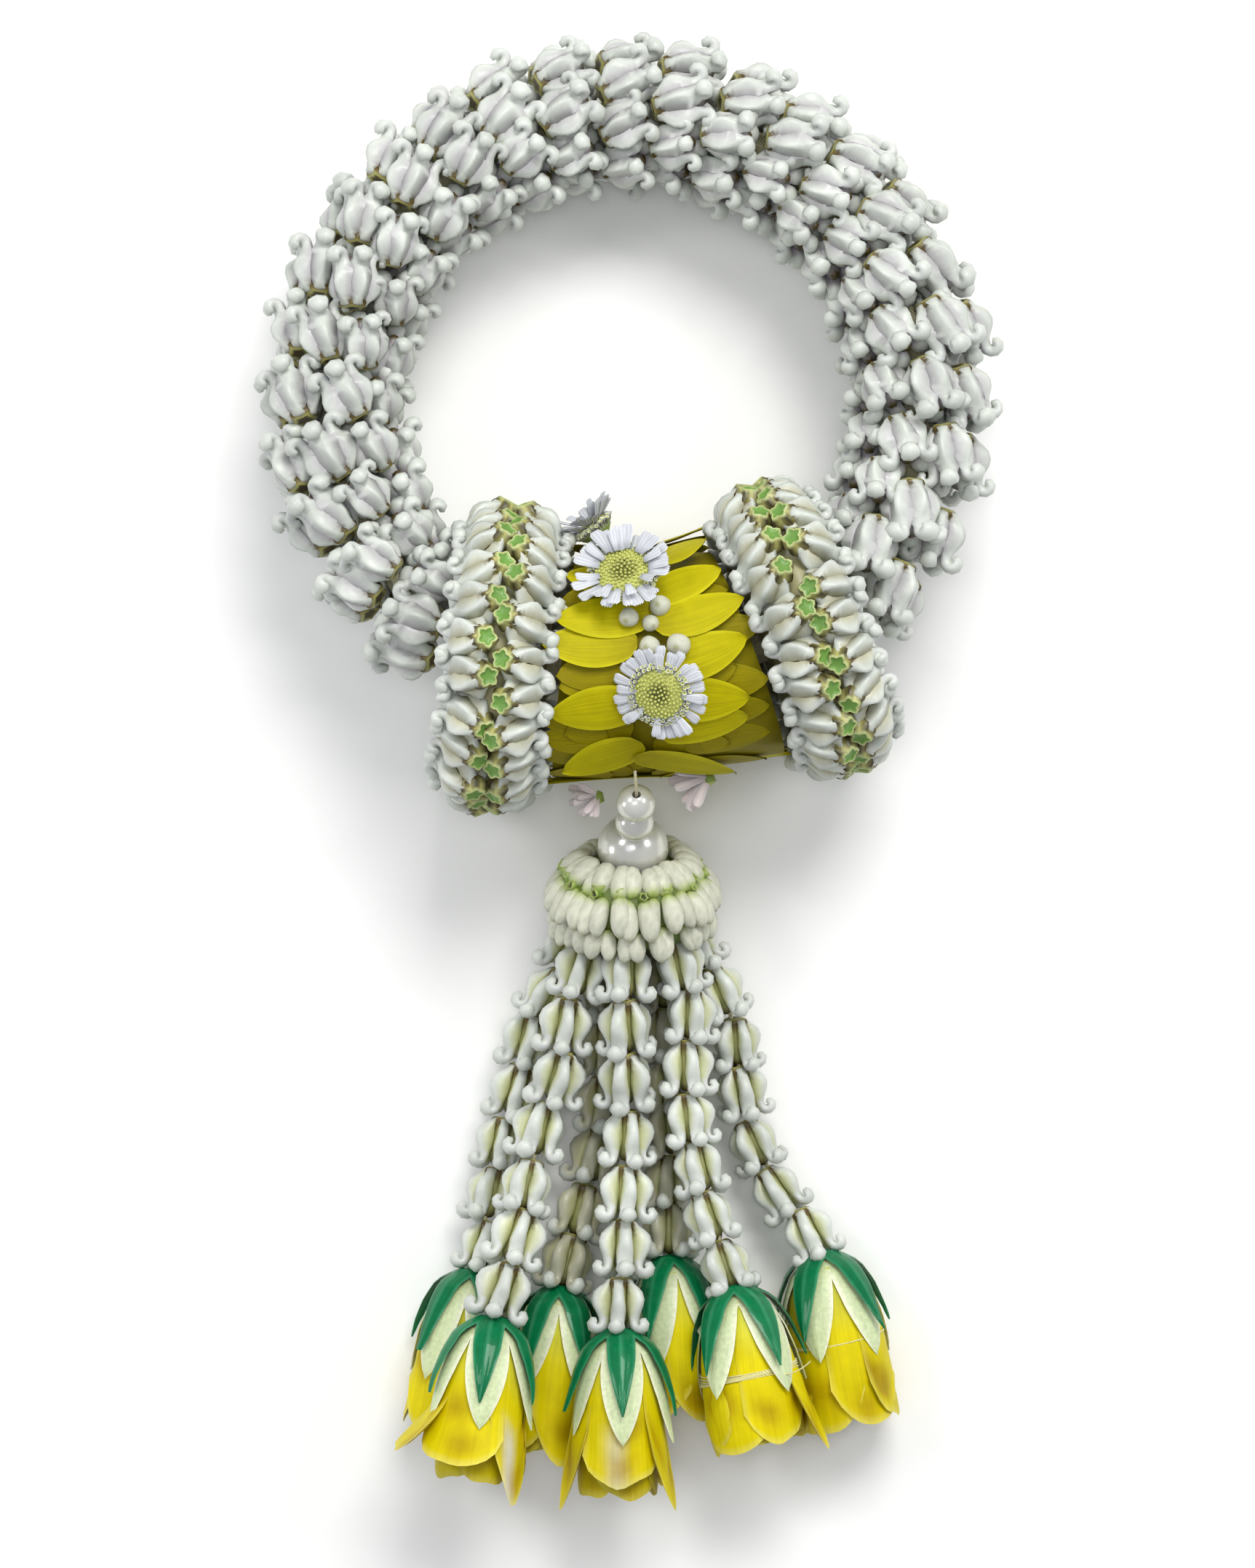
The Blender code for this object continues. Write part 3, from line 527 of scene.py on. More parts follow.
def painted(name, grain, vein, mottle, mottle_size, bump, **shader_inputs):
    """A plant surface: its paint, made uneven along the grain, in patches and from copy to copy.

    Grain is how many veins lie across and along a petal, vein how dark they are, mottle how strong the
    patches of mottle_size millimetres are, and bump how far the veins stand out, in millimetres.
    """
    material, tree, shader = new_material(name, **shader_inputs)
    paint, tint, place = (
        add_node(tree, "ShaderNodeAttribute", attribute_name=column).outputs
        for column in ("paint", "tint", "grain")
    )
    stretched = add_node(tree, "ShaderNodeMapping", {"Vector": place["Vector"], "Scale": (*grain, 1)})
    veins = add_node(tree, "ShaderNodeTexNoise", {
        "Vector": stretched.outputs[0], "W": maths(tree, "MULTIPLY", tint["Fac"], 9.0), "Scale": 1.0,
        "Detail": 2.0,
    }, noise_dimensions="4D").outputs["Fac"]
    patches = noise(tree, 1000 / mottle_size, 3.0)
    both = maths(tree, "MULTIPLY", shade(tree, veins, vein), shade(tree, patches, mottle))
    gain = maths(tree, "MULTIPLY", both, maths(tree, "MULTIPLY_ADD", tint["Fac"], 0.08, 1.0))
    colour = add_node(tree, "ShaderNodeVectorMath", {0: paint["Color"], "Scale": gain}, operation="SCALE")
    raised = add_node(tree, "ShaderNodeBump", {"Height": veins, "Strength": 0.6, "Distance": bump * MM})
    tree.links.new(colour.outputs[0], shader.inputs["Base Color"])
    tree.links.new(raised.outputs[0], shader.inputs["Normal"])
    return material


def make_pearl_material():
    """Glass pearl, dipped and polished: a smooth off-white skin, with a cream-green painted sheen toward its
    rim.
    """
    material, tree, shader = new_material(
        "pearl_coated_glass", Roughness=0.22, Metallic=0.3, Coat_weight=1.0, Coat_roughness=0.08, IOR=1.6
    )
    # Painted sheen: the colour turns cream-green where the surface turns away from the eye
    edge = add_node(tree, "ShaderNodeLayerWeight", {"Blend": 0.35})
    skin = mixed(tree, noise(tree, 220, 2), "#C6C6C4", "#DAD9D4")
    tree.links.new(mixed(tree, edge.outputs["Facing"], skin, "#CFCFAE"), shader.inputs["Base Color"])
    return material


def make_thread_material(name, dark, light):
    """Cotton thread, spun and unbleached: dull, with its plies showing as fine slanting shade."""
    material, tree, shader = new_material(name, Roughness=0.9, Sheen_weight=0.2)
    solid = add_node(tree, "ShaderNodeTexCoord")
    ply = add_node(tree, "ShaderNodeTexWave", {
        "Vector": solid.outputs["Object"], "Scale": 1100, "Distortion": 2, "Detail": 2,
    }, bands_direction="DIAGONAL").outputs["Fac"]
    bump = add_node(tree, "ShaderNodeBump", {"Height": ply, "Distance": 0.1 * MM})
    tree.links.new(mixed(tree, ply, dark, light), shader.inputs["Base Color"])
    tree.links.new(bump.outputs[0], shader.inputs["Normal"])
    return material


def make_floor():
    """Pale painted board, smooth and matt, with a faint unevenness."""
    material, tree, shader = new_material("floor_painted_board", Roughness=0.7)
    tree.links.new(mixed(tree, noise(tree, 6, 2), "#F3F3F2", "#F8F8F7"), shader.inputs["Base Color"])
    bm = bmesh.new()
    bmesh.ops.create_grid(bm, x_segments=1, y_segments=1, size=FLOOR_HALF)
    mesh = bpy.data.meshes.new("floor")
    bm.to_mesh(mesh)
    bm.free()
    mesh.materials.append(material)
    floor = new_object("floor", mesh)
    mesh.transform(Matrix.Translation((0, 0, -FLOOR_GAP)))


# Where the ring runs, as in the part


def signed(turn):
    return (turn + 180) % 360 - 180


def ring_centre(turn):
    """Middle of the rope, in the ring's own plane."""
    turn = signed(turn)
    away = min(abs(turn - DIP_TURN) / DIP_REACH, 1.0)
    radius = RING_RADIUS - RING_DIP * math.cos(math.radians(90 * away)) ** 2
    angle = math.radians(turn)
    return Vector((radius * math.sin(angle), -radius * math.cos(angle), 0))


def ring_heading(turn):
    """Direction of the rope, which runs straight through each collar and turns sharply beside it."""
    turn = signed(turn)
    left, right = COLLAR_TURNS
    first, last = COLLAR_HEADINGS
    start, end = left - COLLAR_FLAT[0], right + COLLAR_FLAT[1]
    if turn < start:
        away = start - REJOIN
        return away + (first - away) * ease(turn, away, start) + min(turn - away, 0)
    if turn > end:
        away = end + REJOIN
        return last + (away - last) * ease(turn, end, away) + max(turn - away, 0)
    return first + (last - first) * ease(turn, left + COLLAR_FLAT[0], right - COLLAR_FLAT[1])


def directions(heading):
    angle = math.radians(heading)
    return Vector((math.cos(angle), math.sin(angle), 0)), Vector((math.sin(angle), -math.cos(angle), 0))


def rope_point(turn, angle, radius):
    """Point round the rope's section: angle 0 is outward, 90 is up and 180 faces the hole."""
    _, outward = directions(ring_heading(turn))
    angle = math.radians(angle)
    offset = outward * (radius * math.cos(angle)) + UP * (radius * math.sin(angle))
    return RING_PLACE @ (ring_centre(turn) + offset)


def turn_in_collar(side, along):
    """Turn at which the rope crosses the plane that lies this far along a collar's axis."""
    axis, _ = directions(COLLAR_HEADINGS[side])
    centre = ring_centre(COLLAR_TURNS[side])
    low, high = COLLAR_TURNS[side] - 25, COLLAR_TURNS[side] + 25
    for _ in range(40):
        middle = (low + high) / 2
        if (ring_centre(middle) - centre).dot(axis) < along:
            low = middle
        else:
            high = middle
    return low


def collar_point(side, along, angle, radius):
    axis, outward = directions(COLLAR_HEADINGS[side])
    angle = math.radians(angle)
    offset = axis * along + outward * (radius * math.cos(angle)) + UP * (radius * math.sin(angle))
    return RING_PLACE @ (ring_centre(COLLAR_TURNS[side]) + offset)


def band_point(share, angle, radius):
    """Point on the band: share runs from -1 at the left collar to 1 at the right one."""
    left = turn_in_collar(0, COLLAR_HALF + BAND_START)
    right = turn_in_collar(1, -COLLAR_HALF - BAND_START)
    return rope_point((left + right) / 2 + share * (right - left) / 2, angle, radius)


# Crown flowers

WHITE = srgb("#D0D5CD")
WEB = srgb("#CFD1CF")
# Painted shade between the lobes: lavender-grey on the ring, cream on the collars (also their columns and
# core), and on the strings their own yellow-green tint with painted shade
VALLEY_SHADE = srgb("#BAB6BA")
CREAM_VALLEY = srgb("#AFAB80")
GREEN_VALLEY = srgb("#C2C68E")
COLUMN = srgb("#94965A")
# Khaki painted shade for the crowns of the hindmost strings, which the others shade
SHADED = srgb("#A39C70")
# Olive-brown of the head and neck, their own colour; the darker one is also painted shade in the hollows
# under the head and at the column's foot
NECK = srgb("#6F5F2A")
DARK_NECK = srgb("#4A3D17")
STAR = srgb("#6E9A42")
STAR_RIM = srgb("#BCC482")
STAR_SIDE = srgb("#BDBB74")
STAR_CORNER = srgb("#30250C")
# Crowns by place: valley, column, root, breadth, fill and dip, as crown() takes them
RING_CROWN = (VALLEY_SHADE, VALLEY_SHADE, 1.0, 0.62, 3.35, -0.12)
COLLAR_CROWN = (CREAM_VALLEY, CREAM_VALLEY, 1.0, 0.7, 3.3, -0.1)
STRING_CROWN = (GREEN_VALLEY, COLUMN, 0.74, 1.4, 2.1, 0.1)
CROWN_KINDS = 4


def crown(rng, valley, column, root, breadth, fill, dip, shaded=0.0):
    """Five fleshy lobes round a column. Each leaves the head, swells to a shoulder, and ends in a curl.

    Valley is the colour of the flanks and inner sides between the lobes: painted shade there, on the strings
    over their own yellow-green tint. Column is the colour of the middle. Root, breadth and fill say how thick
    a lobe is where it joins the middle, at its outer edge and halfway between, and dip how far out that
    halfway
    place is. A crown may be shaded: then it is painted toward khaki, as shade for the hindmost crowns, which
    the others shade.
    """
    form = Form()
    for lobe in range(5):
        angle = math.radians(72 * lobe + rng.uniform(-5, 5))
        outward = Vector((math.cos(angle), math.sin(angle), 0))
        sideways = Vector((-math.sin(angle), math.cos(angle), 0))
        spread, swell, slant = rng.uniform(-0.3, 0.35), rng.uniform(0.93, 1.08), rng.uniform(-0.7, 0.7)
        shoulder, lean = rng.uniform(0.85, 1.12), rng.uniform(-0.5, 0.5)
        rings = []
        for index, (radius, height, out, inward, keel, web, heel) in enumerate(LOBE):
            before, after = LOBE[max(index - 1, 0)], LOBE[min(index + 1, len(LOBE) - 1)]
            run = Vector((after[0] - before[0], after[1] - before[1])).normalized()
            low = ease(height, 6.0, 0.0)
            middle = outward * (radius + spread * low) + UP * height + sideways * (slant * low)
            normal = outward * -run.y + UP * run.x
            bulge = out * (shoulder if 3 <= index <= 8 else 1.0)
            tip = lean * math.sin(math.pi * ease(height, 3.5, 10.5)) if index < 10 else 0.0
            body = ease(height, 3.0, 6.0) * ease(height, 11.2, 9.6)
            keel *= 1 + (breadth - 1) * body
            web *= 1 + (fill - 1) * body
            # A shaded crown's keels and flanks are painted toward khaki as shade
            keel_paint = WHITE.lerp(SHADED, shaded).lerp(NECK, 0.6 * ease(height, 11.0, 11.8))
            # Painted shade: the flank between keel and root takes most of the valley colour
            web_paint = WEB.lerp(valley, 0.75 if index < 9 else 0.0).lerp(SHADED, shaded)
            # Toward the head the flanks and inner sides darken to olive-brown: partly the neck's own colour,
            # partly painted shade beneath the head
            web_paint = web_paint.lerp(NECK, ease(height, 10.0, 11.4))
            inner_paint = (WHITE if index > 10 else valley).lerp(DARK_NECK, ease(height, 8.8, 10.4))
            section = (
                (bulge, tip, keel_paint),
                (0.78 * bulge, keel + tip, keel_paint),
                (dip * bulge, web + 0.5 * tip, web_paint),
                (-0.6 * inward, heel * root, inner_paint),
                (-inward, 0, inner_paint),
                (-0.6 * inward, -heel * root, inner_paint),
                (dip * bulge, 0.5 * tip - web, web_paint),
                (0.78 * bulge, tip - keel, keel_paint),
            )
            rings.append([
                form.point(middle + normal * (a * swell) + sideways * (b * swell), paint, (b, height, 0))
                for a, b, paint in section
            ])
        first = outward * 1.3 + UP * 11.55
        last = outward * (4.5 + spread) + UP * 3.1 + sideways * slant
        form.loft([[form.point(first, NECK)], *rings, [form.point(last, WEB)]])
    # The column darkens at its foot among the curls and under the head: painted shade
    stations = (
        (0, 1.6, DARK_NECK), (0.9, 2.0, DARK_NECK), (1.6, 3.6, column), (2.0, 6.0, column),
        (1.9, 8.6, column), (2.1, 10.2, NECK), (2.45, 11.0, DARK_NECK), (2.3, 11.6, NECK),
        (1.8, 12.0, STAR_SIDE), (1.0, 11.9, DARK_NECK), (0, 11.9, DARK_NECK),
    )
    form.add(turned(stations, 10, lambda turn, _: 1.0 + 0.16 * math.cos(5 * turn + math.pi)))
    return form


def star_head():
    """The head of a crown: a green five-pointed dish with a pale rim, on a drum with dark corners."""
    stations = (
        # radius, height, paint between the points, paint on them, how far the points stand out
        (0, -0.30, STAR, STAR, 0.0), (0.6, -0.28, STAR, STAR, 0.12), (1.05, -0.12, STAR, STAR, 0.20),
        (1.22, 0.10, STAR_RIM, STAR_RIM, 0.22), (1.38, 0.08, STAR_RIM, STAR_RIM, 0.22),
        (1.62, -0.40, STAR_SIDE, STAR_CORNER, 0.20), (2.0, -1.1, STAR_SIDE, STAR_CORNER, 0.14),
        (2.15, -1.8, STAR_SIDE, DARK_NECK, 0.10), (1.9, -2.6, DARK_NECK, DARK_NECK, 0.05),
        (0, -2.6, DARK_NECK, DARK_NECK, 0.0),
    )

    def point(i, radius, height, paint, corner, out):
        angle = 2 * math.pi * i / 20
        tip = math.cos(5 * angle / 2) ** 2
        reach = radius * (1 - out + 2 * out * tip**0.8)
        place = (reach * math.cos(angle), reach * math.sin(angle), height)
        return place, paint.lerp(corner, ease(tip, 0.25, 0.65))

    return ringed(stations, 20, point)


CROWN_SIDE = (0.02, 10.3, 0.97, 11.5)  # share of the layer and radius of a ring crown's head and curls


def crown_spot(rng, head, curls, size=1.0, toward=None):
    """A crown whose head and curls lie near two points, a little longer where these are far apart.

    A direction that two of its lobes lie to either side of may be given.
    """
    axis = (head - curls).normalized()
    size *= min(max((head - curls).length / CROWN_HEIGHT, 0.97), 1.13) * rng.uniform(0.96, 1.04)
    lean = jitter(rng, 0.09)
    foot = curls + jitter(rng, 0.35)
    spin = about(UP, rng.uniform(0, 72) if toward is None else 36 + rng.uniform(-6, 6))
    turn = facing(axis + lean, toward or Vector((0.3, 0.5, 0.8))) @ spin
    return turned_spot(rng, foot, turn, size, CROWN_KINDS)


def make_ring(material):
    rng = random.Random(11)
    first = turn_in_collar(0, -COLLAR_HALF - ROPE_START)
    last = turn_in_collar(1, COLLAR_HALF + ROPE_START)
    layer = (360 - last + first) / LAYERS
    kinds = [crown(rng, *RING_CROWN) for _ in range(CROWN_KINDS)]
    head_share, head_radius, curl_share, curl_radius = CROWN_SIDE

    def rope_place(at, strand, radius):
        return rope_point(first - layer * at, -LAYER_TWIST * at + 360 / STRANDS * (strand + 0.5), radius)

    per_sector = LAYERS // SECTORS
    for sector in range(SECTORS):
        spots = []
        for number in range(sector * per_sector, (sector + 1) * per_sector):
            for strand in range(STRANDS):
                shift = rng.uniform(-0.04, 0.04)
                head = rope_place(number + head_share + shift, strand, head_radius)
                curls = rope_place(number + curl_share + shift, strand, curl_radius)
                spots.append(crown_spot(rng, head, curls))
        name = f"ring_crowns_{sector + 1}"
        copies(f"sector_{sector + 1}_crowns", kinds, spots, material, (name,))


# Place along the collar, from its middle, and radius of a crown's head and curls
COLLAR_HEAD, COLLAR_CURLS = (2.5, 30.0), (9.0, 21.4)
STAR_SIZE, STAR_RISE = 1.38, 1.5
# Radius and place along the collar of half of its core
COLLAR_CORE = ((0, -9.4), (9.0, -9.4), (15.0, -8.8), (18.5, -7.4), (21.5, -5.0), (26.2, -2.8))
# Crowns in the collar's mouth, round the rope: how many, the radius of their heads and curls, and their depth
COLLAR_MOUTH = ((11, 15.6, 17.0, 1.5), (6, 8.0, 9.0, 1.0))


def collar_core(side):
    """The core that the crowns are pinned to, wound round the cord: its rim shows between the heads."""
    profile = (*COLLAR_CORE, (27.2, 0.0), *((radius, -along) for radius, along in reversed(COLLAR_CORE)))

    def point(i, radius, along):
        winding = (0.4 if i % 2 else -0.4) * (radius > 0)
        return collar_point(side, along, 360 / 44 * i, radius + winding), CREAM_VALLEY

    return ringed(profile, 44, point)


def make_collars(material):
    rng = random.Random(23)
    crowns = [crown(rng, *COLLAR_CROWN) for _ in range(CROWN_KINDS)]
    for side, name in enumerate(("left", "right")):
        kinds = [*crowns, star_head(), collar_core(side)]
        spots = [as_made(CROWN_KINDS + 1)]
        for column in range(2 * COLLAR_CROWNS):
            hand = 1 if column % 2 == 0 else -1
            angle = 360 * (column // 2) / COLLAR_CROWNS + (0 if hand == 1 else 6.5) + rng.uniform(-1.2, 1.2)
            head, curls = (
                collar_point(side, hand * along, angle, radius)
                for along, radius in (COLLAR_HEAD, COLLAR_CURLS)
            )
            radial = (collar_point(side, 0, angle, 30) - collar_point(side, 0, angle, 20)).normalized()
            placed = crown_spot(rng, head, curls, 1.02, radial)
            foot, turn, (size, *_), _, tint = placed
            axis = turn @ UP
            top = foot + axis * (size * CROWN_HEIGHT + STAR_RISE)
            spots.append(placed)
            face = axis + radial * 0.5
            spots.append(spot(top, face, rng.uniform(0, 72), STAR_SIZE, CROWN_KINDS, tint))
        hand = 2 * side - 1
        for count, head_radius, curl_radius, depth in COLLAR_MOUTH:
            for i in range(count):
                angle = 360 / count * (i + 0.5) + rng.uniform(-4, 4)
                head = collar_point(side, hand * depth, angle, head_radius)
                curls = collar_point(side, hand * (depth + 10.4), angle, curl_radius)
                spots.append(crown_spot(rng, head, curls))
        copies(f"collar_{name}_crowns", kinds, spots, material, (f"collar_{name}",))


def string_path(points, count):
    """Evenly spread points of a Catmull-Rom curve through the given ones."""
    knots = [Vector(point) for point in points]
    knots = [knots[0] * 2 - knots[1], *knots, knots[-1] * 2 - knots[-2]]
    fine = []
    for a, b, c, d in zip(knots, knots[1:], knots[2:], knots[3:]):
        for step in range(24):
            t = step / 24
            square = (2 * a - 5 * b + 4 * c - d) * t**2
            cube = (3 * b - a - 3 * c + d) * t**3
            fine.append((2 * b + (c - a) * t + square + cube) / 2)
    fine.append(knots[-2])
    lengths = [0.0]
    for first, second in zip(fine, fine[1:]):
        lengths.append(lengths[-1] + (second - first).length)
    spread = []
    for step in range(count + 1):
        wanted = lengths[-1] * step / count
        index = max(i for i, length in enumerate(lengths[:-1]) if length <= wanted)
        share = (wanted - lengths[index]) / (lengths[index + 1] - lengths[index])
        spread.append(fine[index].lerp(fine[index + 1], min(share, 1.0)))
    return spread


STRING_OVER_ROSE = (2.0, 2.2, 2.6, 2.6, 2.3, 2.8, 2.8)
# Strings whose crowns are painted in khaki shade, as they lie behind the others
HINDMOST_STRINGS = (2, 4)


def make_strings(material, cotton):
    rng = random.Random(37)
    clear, dark = (
        [crown(rng, *STRING_CROWN, shaded) for _ in range(CROWN_KINDS)] for shaded in (0.0, 0.6)
    )
    paths = []
    for number, (points, end, over) in enumerate(zip(STRING_POINTS, ROSE_ENDS, STRING_OVER_ROSE)):
        last = Vector(points[-1])
        last += (Vector(end) - last).normalized() * over
        path = string_path((*points[:-1], last), STRING_CROWNS)
        paths.append(string_path(points, 40))
        spots = [crown_spot(rng, head, curls, 1.06) for head, curls in zip(path, path[1:])]
        kinds = dark if number in HINDMOST_STRINGS else clear
        name = f"tassel_string_{number + 1}"
        copies(f"string_{number + 1}_crowns", kinds, spots, material, (name,))
    threads("string_threads", paths, 0.4, cotton)


# The band of petals, and what stands on it

PETAL = srgb("#BBB100")
PETAL_ROOT = srgb("#A69A00")
# Paler yellow along the petals' side edges: a painted highlight where the rims catch the light
PETAL_EDGE_HIGHLIGHT = srgb("#D2CA18")
# Painted shade on the petals that lie under the others
PETAL_UNDER_SHADE = srgb("#827400")
ROLL = srgb("#857A10")
PETAL_LENGTH, PETAL_HALF = 19.6, 4.55
# Petals that are seen from above, each with its root and its point in the picture, its width against the
# usual one, and whether it lies under the others. The rest follow round the back at even steps.
PETALS = (
    (5.0, -38.2, -13.1, -38.1, 1.0, False), (3.7, -40.4, -13.6, -41.9, 1.0, True),
    (5.4, -44.3, -15.2, -46.1, 1.0, False), (2.0, -50.3, -18.0, -50.8, 1.02, False),
    (1.2, -55.6, -14.8, -57.3, 0.95, True), (-0.9, -57.0, -14.2, -59.6, 0.9, True),
    (3.0, -62.8, -16.3, -65.1, 1.06, False), (1.2, -67.6, -13.1, -69.7, 1.0, True),
    (3.2, -71.2, -13.4, -77.0, 1.0, False), (5.4, -73.9, -5.5, -77.6, 0.9, True),
    (1.2, -77.8, -12.1, -78.6, 1.0, True), (-4.0, -66.8, -18.2, -66.6, 0.9, True),
    (-4.0, -70.6, -18.0, -71.2, 0.9, True), (-4.0, -74.4, -17.8, -75.4, 0.9, True),
    (-3.0, -78.4, -17.4, -79.2, 0.9, True),
    (5.0, -33.4, 16.8, -31.6, 1.0, False), (3.6, -41.3, 19.5, -36.7, 0.95, False),
    (4.2, -43.2, 20.8, -39.6, 0.9, True), (5.2, -46.8, 24.1, -41.9, 0.92, False),
    (6.2, -55.6, 24.8, -49.3, 1.0, False), (7.5, -58.4, 22.7, -55.2, 0.95, True),
    (6.0, -61.7, 25.4, -61.5, 1.06, False), (6.6, -68.9, 25.3, -65.5, 1.0, False),
    (5.4, -71.8, 21.5, -72.0, 0.95, True), (1.6, -73.3, 22.4, -77.6, 0.9, False),
    (5.2, -78.0, 18.9, -79.6, 0.9, True), (9.0, -50.0, 28.0, -46.2, 0.9, True),
    (12.0, -60.0, 29.4, -58.0, 0.9, True), (12.0, -66.6, 29.8, -64.0, 0.9, True),
    (12.0, -72.4, 29.8, -70.2, 0.9, True), (10.0, -77.0, 29.2, -76.6, 0.9, True),
)
# The petals round the back: the angle between two of a kind, and where they end
BACK_STEP, BACK_STEPS, BACK_END = 18, 22, -184
UPPER_KINDS, UNDER_KINDS = (1, 5), (5, 8)


def band_petal(rng, under):
    """A tongue-shaped petal over a round band: X runs to its point and Z away from the band."""
    bow, lift, twist = rng.uniform(-0.5, 0.5), rng.uniform(0.4, 1.3), rng.uniform(-0.4, 0.4)
    round_at = BAND_RADIUS + (0.6 if under else 2.0)

    def surface(across, along):
        width = PETAL_HALF * math.sin(math.pi * (0.13 + 0.87 * min(max(along, 0), 1))) ** 0.68
        width *= math.sqrt(ease(along, -0.02, 0.08))
        x = PETAL_LENGTH * along
        y = across * width + bow * math.sin(math.pi * along)
        cup = 0.5 * abs(across) ** 3 - 0.25 * across * across
        z = math.sqrt(round_at**2 - y * y) - round_at + lift * along**2 + cup + twist * across * along
        return Vector((x, y, z))

    def paint(across, along):
        # Paler toward both side edges: a painted highlight along the rims
        edge = ease(abs(across), 0.75, 1.0)
        colour = PETAL_ROOT.lerp(PETAL, ease(along, 0.0, 0.4)).lerp(PETAL_EDGE_HIGHLIGHT, 0.7 * edge)
        # Petals that lie under the others are painted darker, as shade
        return colour.lerp(PETAL_UNDER_SHADE, 0.75) if under else colour

    return sheet(surface, 8, 14, 0.45, paint)


def band_roll():
    """The roll under the petals, from collar to collar."""
    end = BAND_RADIUS - 0.8
    stations = ((0, -1.0), (end, -1.0), (BAND_RADIUS, 0.0), (end, 1.0), (0, 1.0))
    return ringed(stations, 32, lambda i, radius, share: (band_point(share, 360 / 32 * i, radius), ROLL))


def band_seen_at(x, y):
    """Share and angle of the place on the band's upper side that is seen at x and y of the picture."""
    share, angle = 0.0, 90.0
    for _ in range(40):
        place = band_point(share, angle, BAND_RADIUS + 1.5)
        nearer = (place.z - VIEW_MIDDLE[2]) / CAMERA_AWAY
        away_x = x * (1 - nearer) - place.x
        away_y = VIEW_MIDDLE[1] + (y - VIEW_MIDDLE[1]) * (1 - nearer) - place.y
        share = min(max(share + away_x / 13, -1.4), 1.4)
        angle = min(max(angle + 2 * away_y / max(math.sin(math.radians(angle)), 0.3), 3), 177)
    return share, angle


def band_spot(rng, root, tip, lift, width, pick):
    """A petal from one share and angle on the band to another."""
    first, last = (band_point(*place, BAND_RADIUS + lift) for place in (root, tip))
    middle = ((root[0] + tip[0]) / 2, (root[1] + tip[1]) / 2)
    outward = band_point(*middle, BAND_RADIUS) - band_point(*middle, 0)
    turn = facing(outward, last - first) @ about(X, rng.uniform(-5, 5))
    return first, turn, ((last - first).length / PETAL_LENGTH, width, 1.0), pick, rng.uniform(-1, 1)


def make_band(material):
    rng = random.Random(5)
    kinds = [band_roll(), *(band_petal(rng, number >= UNDER_KINDS[0]) for number in range(1, UNDER_KINDS[1]))]
    spots = [as_made(0)]
    for x, y, tip_x, tip_y, width, under in PETALS:
        root, tip = band_seen_at(x, y), band_seen_at(tip_x, tip_y)
        pick = rng.randrange(*(UNDER_KINDS if under else UPPER_KINDS))
        lift = 0.5 if under else rng.uniform(1.3, 2.0)
        spots.append(band_spot(rng, root, tip, lift, width, pick))
    for hand in (-1, 1):
        for step in range(BACK_STEPS):
            angle = -6 - BACK_STEP / 2 * step + 4 * hand
            root, tip = (-0.08 * hand, angle), (1.05 * hand, angle + rng.uniform(-8, 8))
            under = step % 2 == 1
            pick = rng.randrange(*(UNDER_KINDS if under else UPPER_KINDS))
            if angle > BACK_END:
                spots.append(band_spot(rng, root, tip, 0.1 if under else 0.8, 1.0, pick))
    copies("band_petals", kinds, spots, material, ("petal_band",))


RAY = srgb("#D9DCE2")
RAY_SHADE = srgb("#A3A7AE")
RAY_WILTED = srgb("#D6C8C6")
DISC = srgb("#C8CC70")
# Dark painted shade in the hollows of the daisy heads: the disc's sunken middle, the florets' mouths and
# their feet
DISC_HOLLOW_SHADE = srgb("#6F7030")
STALK_GREEN = srgb("#7F9440")
DAISIES = (
    # node, share of the way to a collar, angle round the band, radius, disc against it, rays, degrees that
    # they stand up, and which way the head leans on its stalk
    ("daisy_front", 0.06, 68, 10.0, 0.49, 24, 3, (-0.34, 0.0, 0.0)),
    ("daisy_inner", -0.27, 122, 10.8, 0.52, 26, 13, (-0.12, -0.08, 0.0)),
    ("daisy_hidden", -0.52, 164, 8.4, 0.40, 20, 30, (-0.75, 0.0, 0.05)),
)
WILTED = (
    # node, share, angle round the band, where its rays point and how long they are
    ("daisy_wilted_left", -0.60, -4, (-0.85, -0.42, 0.30), 5.8),
    ("daisy_wilted_right", 0.34, -4, (-0.93, -0.26, 0.35), 8.6),
)
STALK = 4.0
RAY_KINDS = 5
WILTED_RAYS = 11
MISSING_RAYS = 0.08
GOLDEN_ANGLE = 2.39996
DISC_FLORETS = 26  # for each millimetre of the disc's radius
RIM_FLORETS = ((34, 0.98, 1.1), (38, 1.12, 0.8))  # how many, reach against the disc, height over the stalk


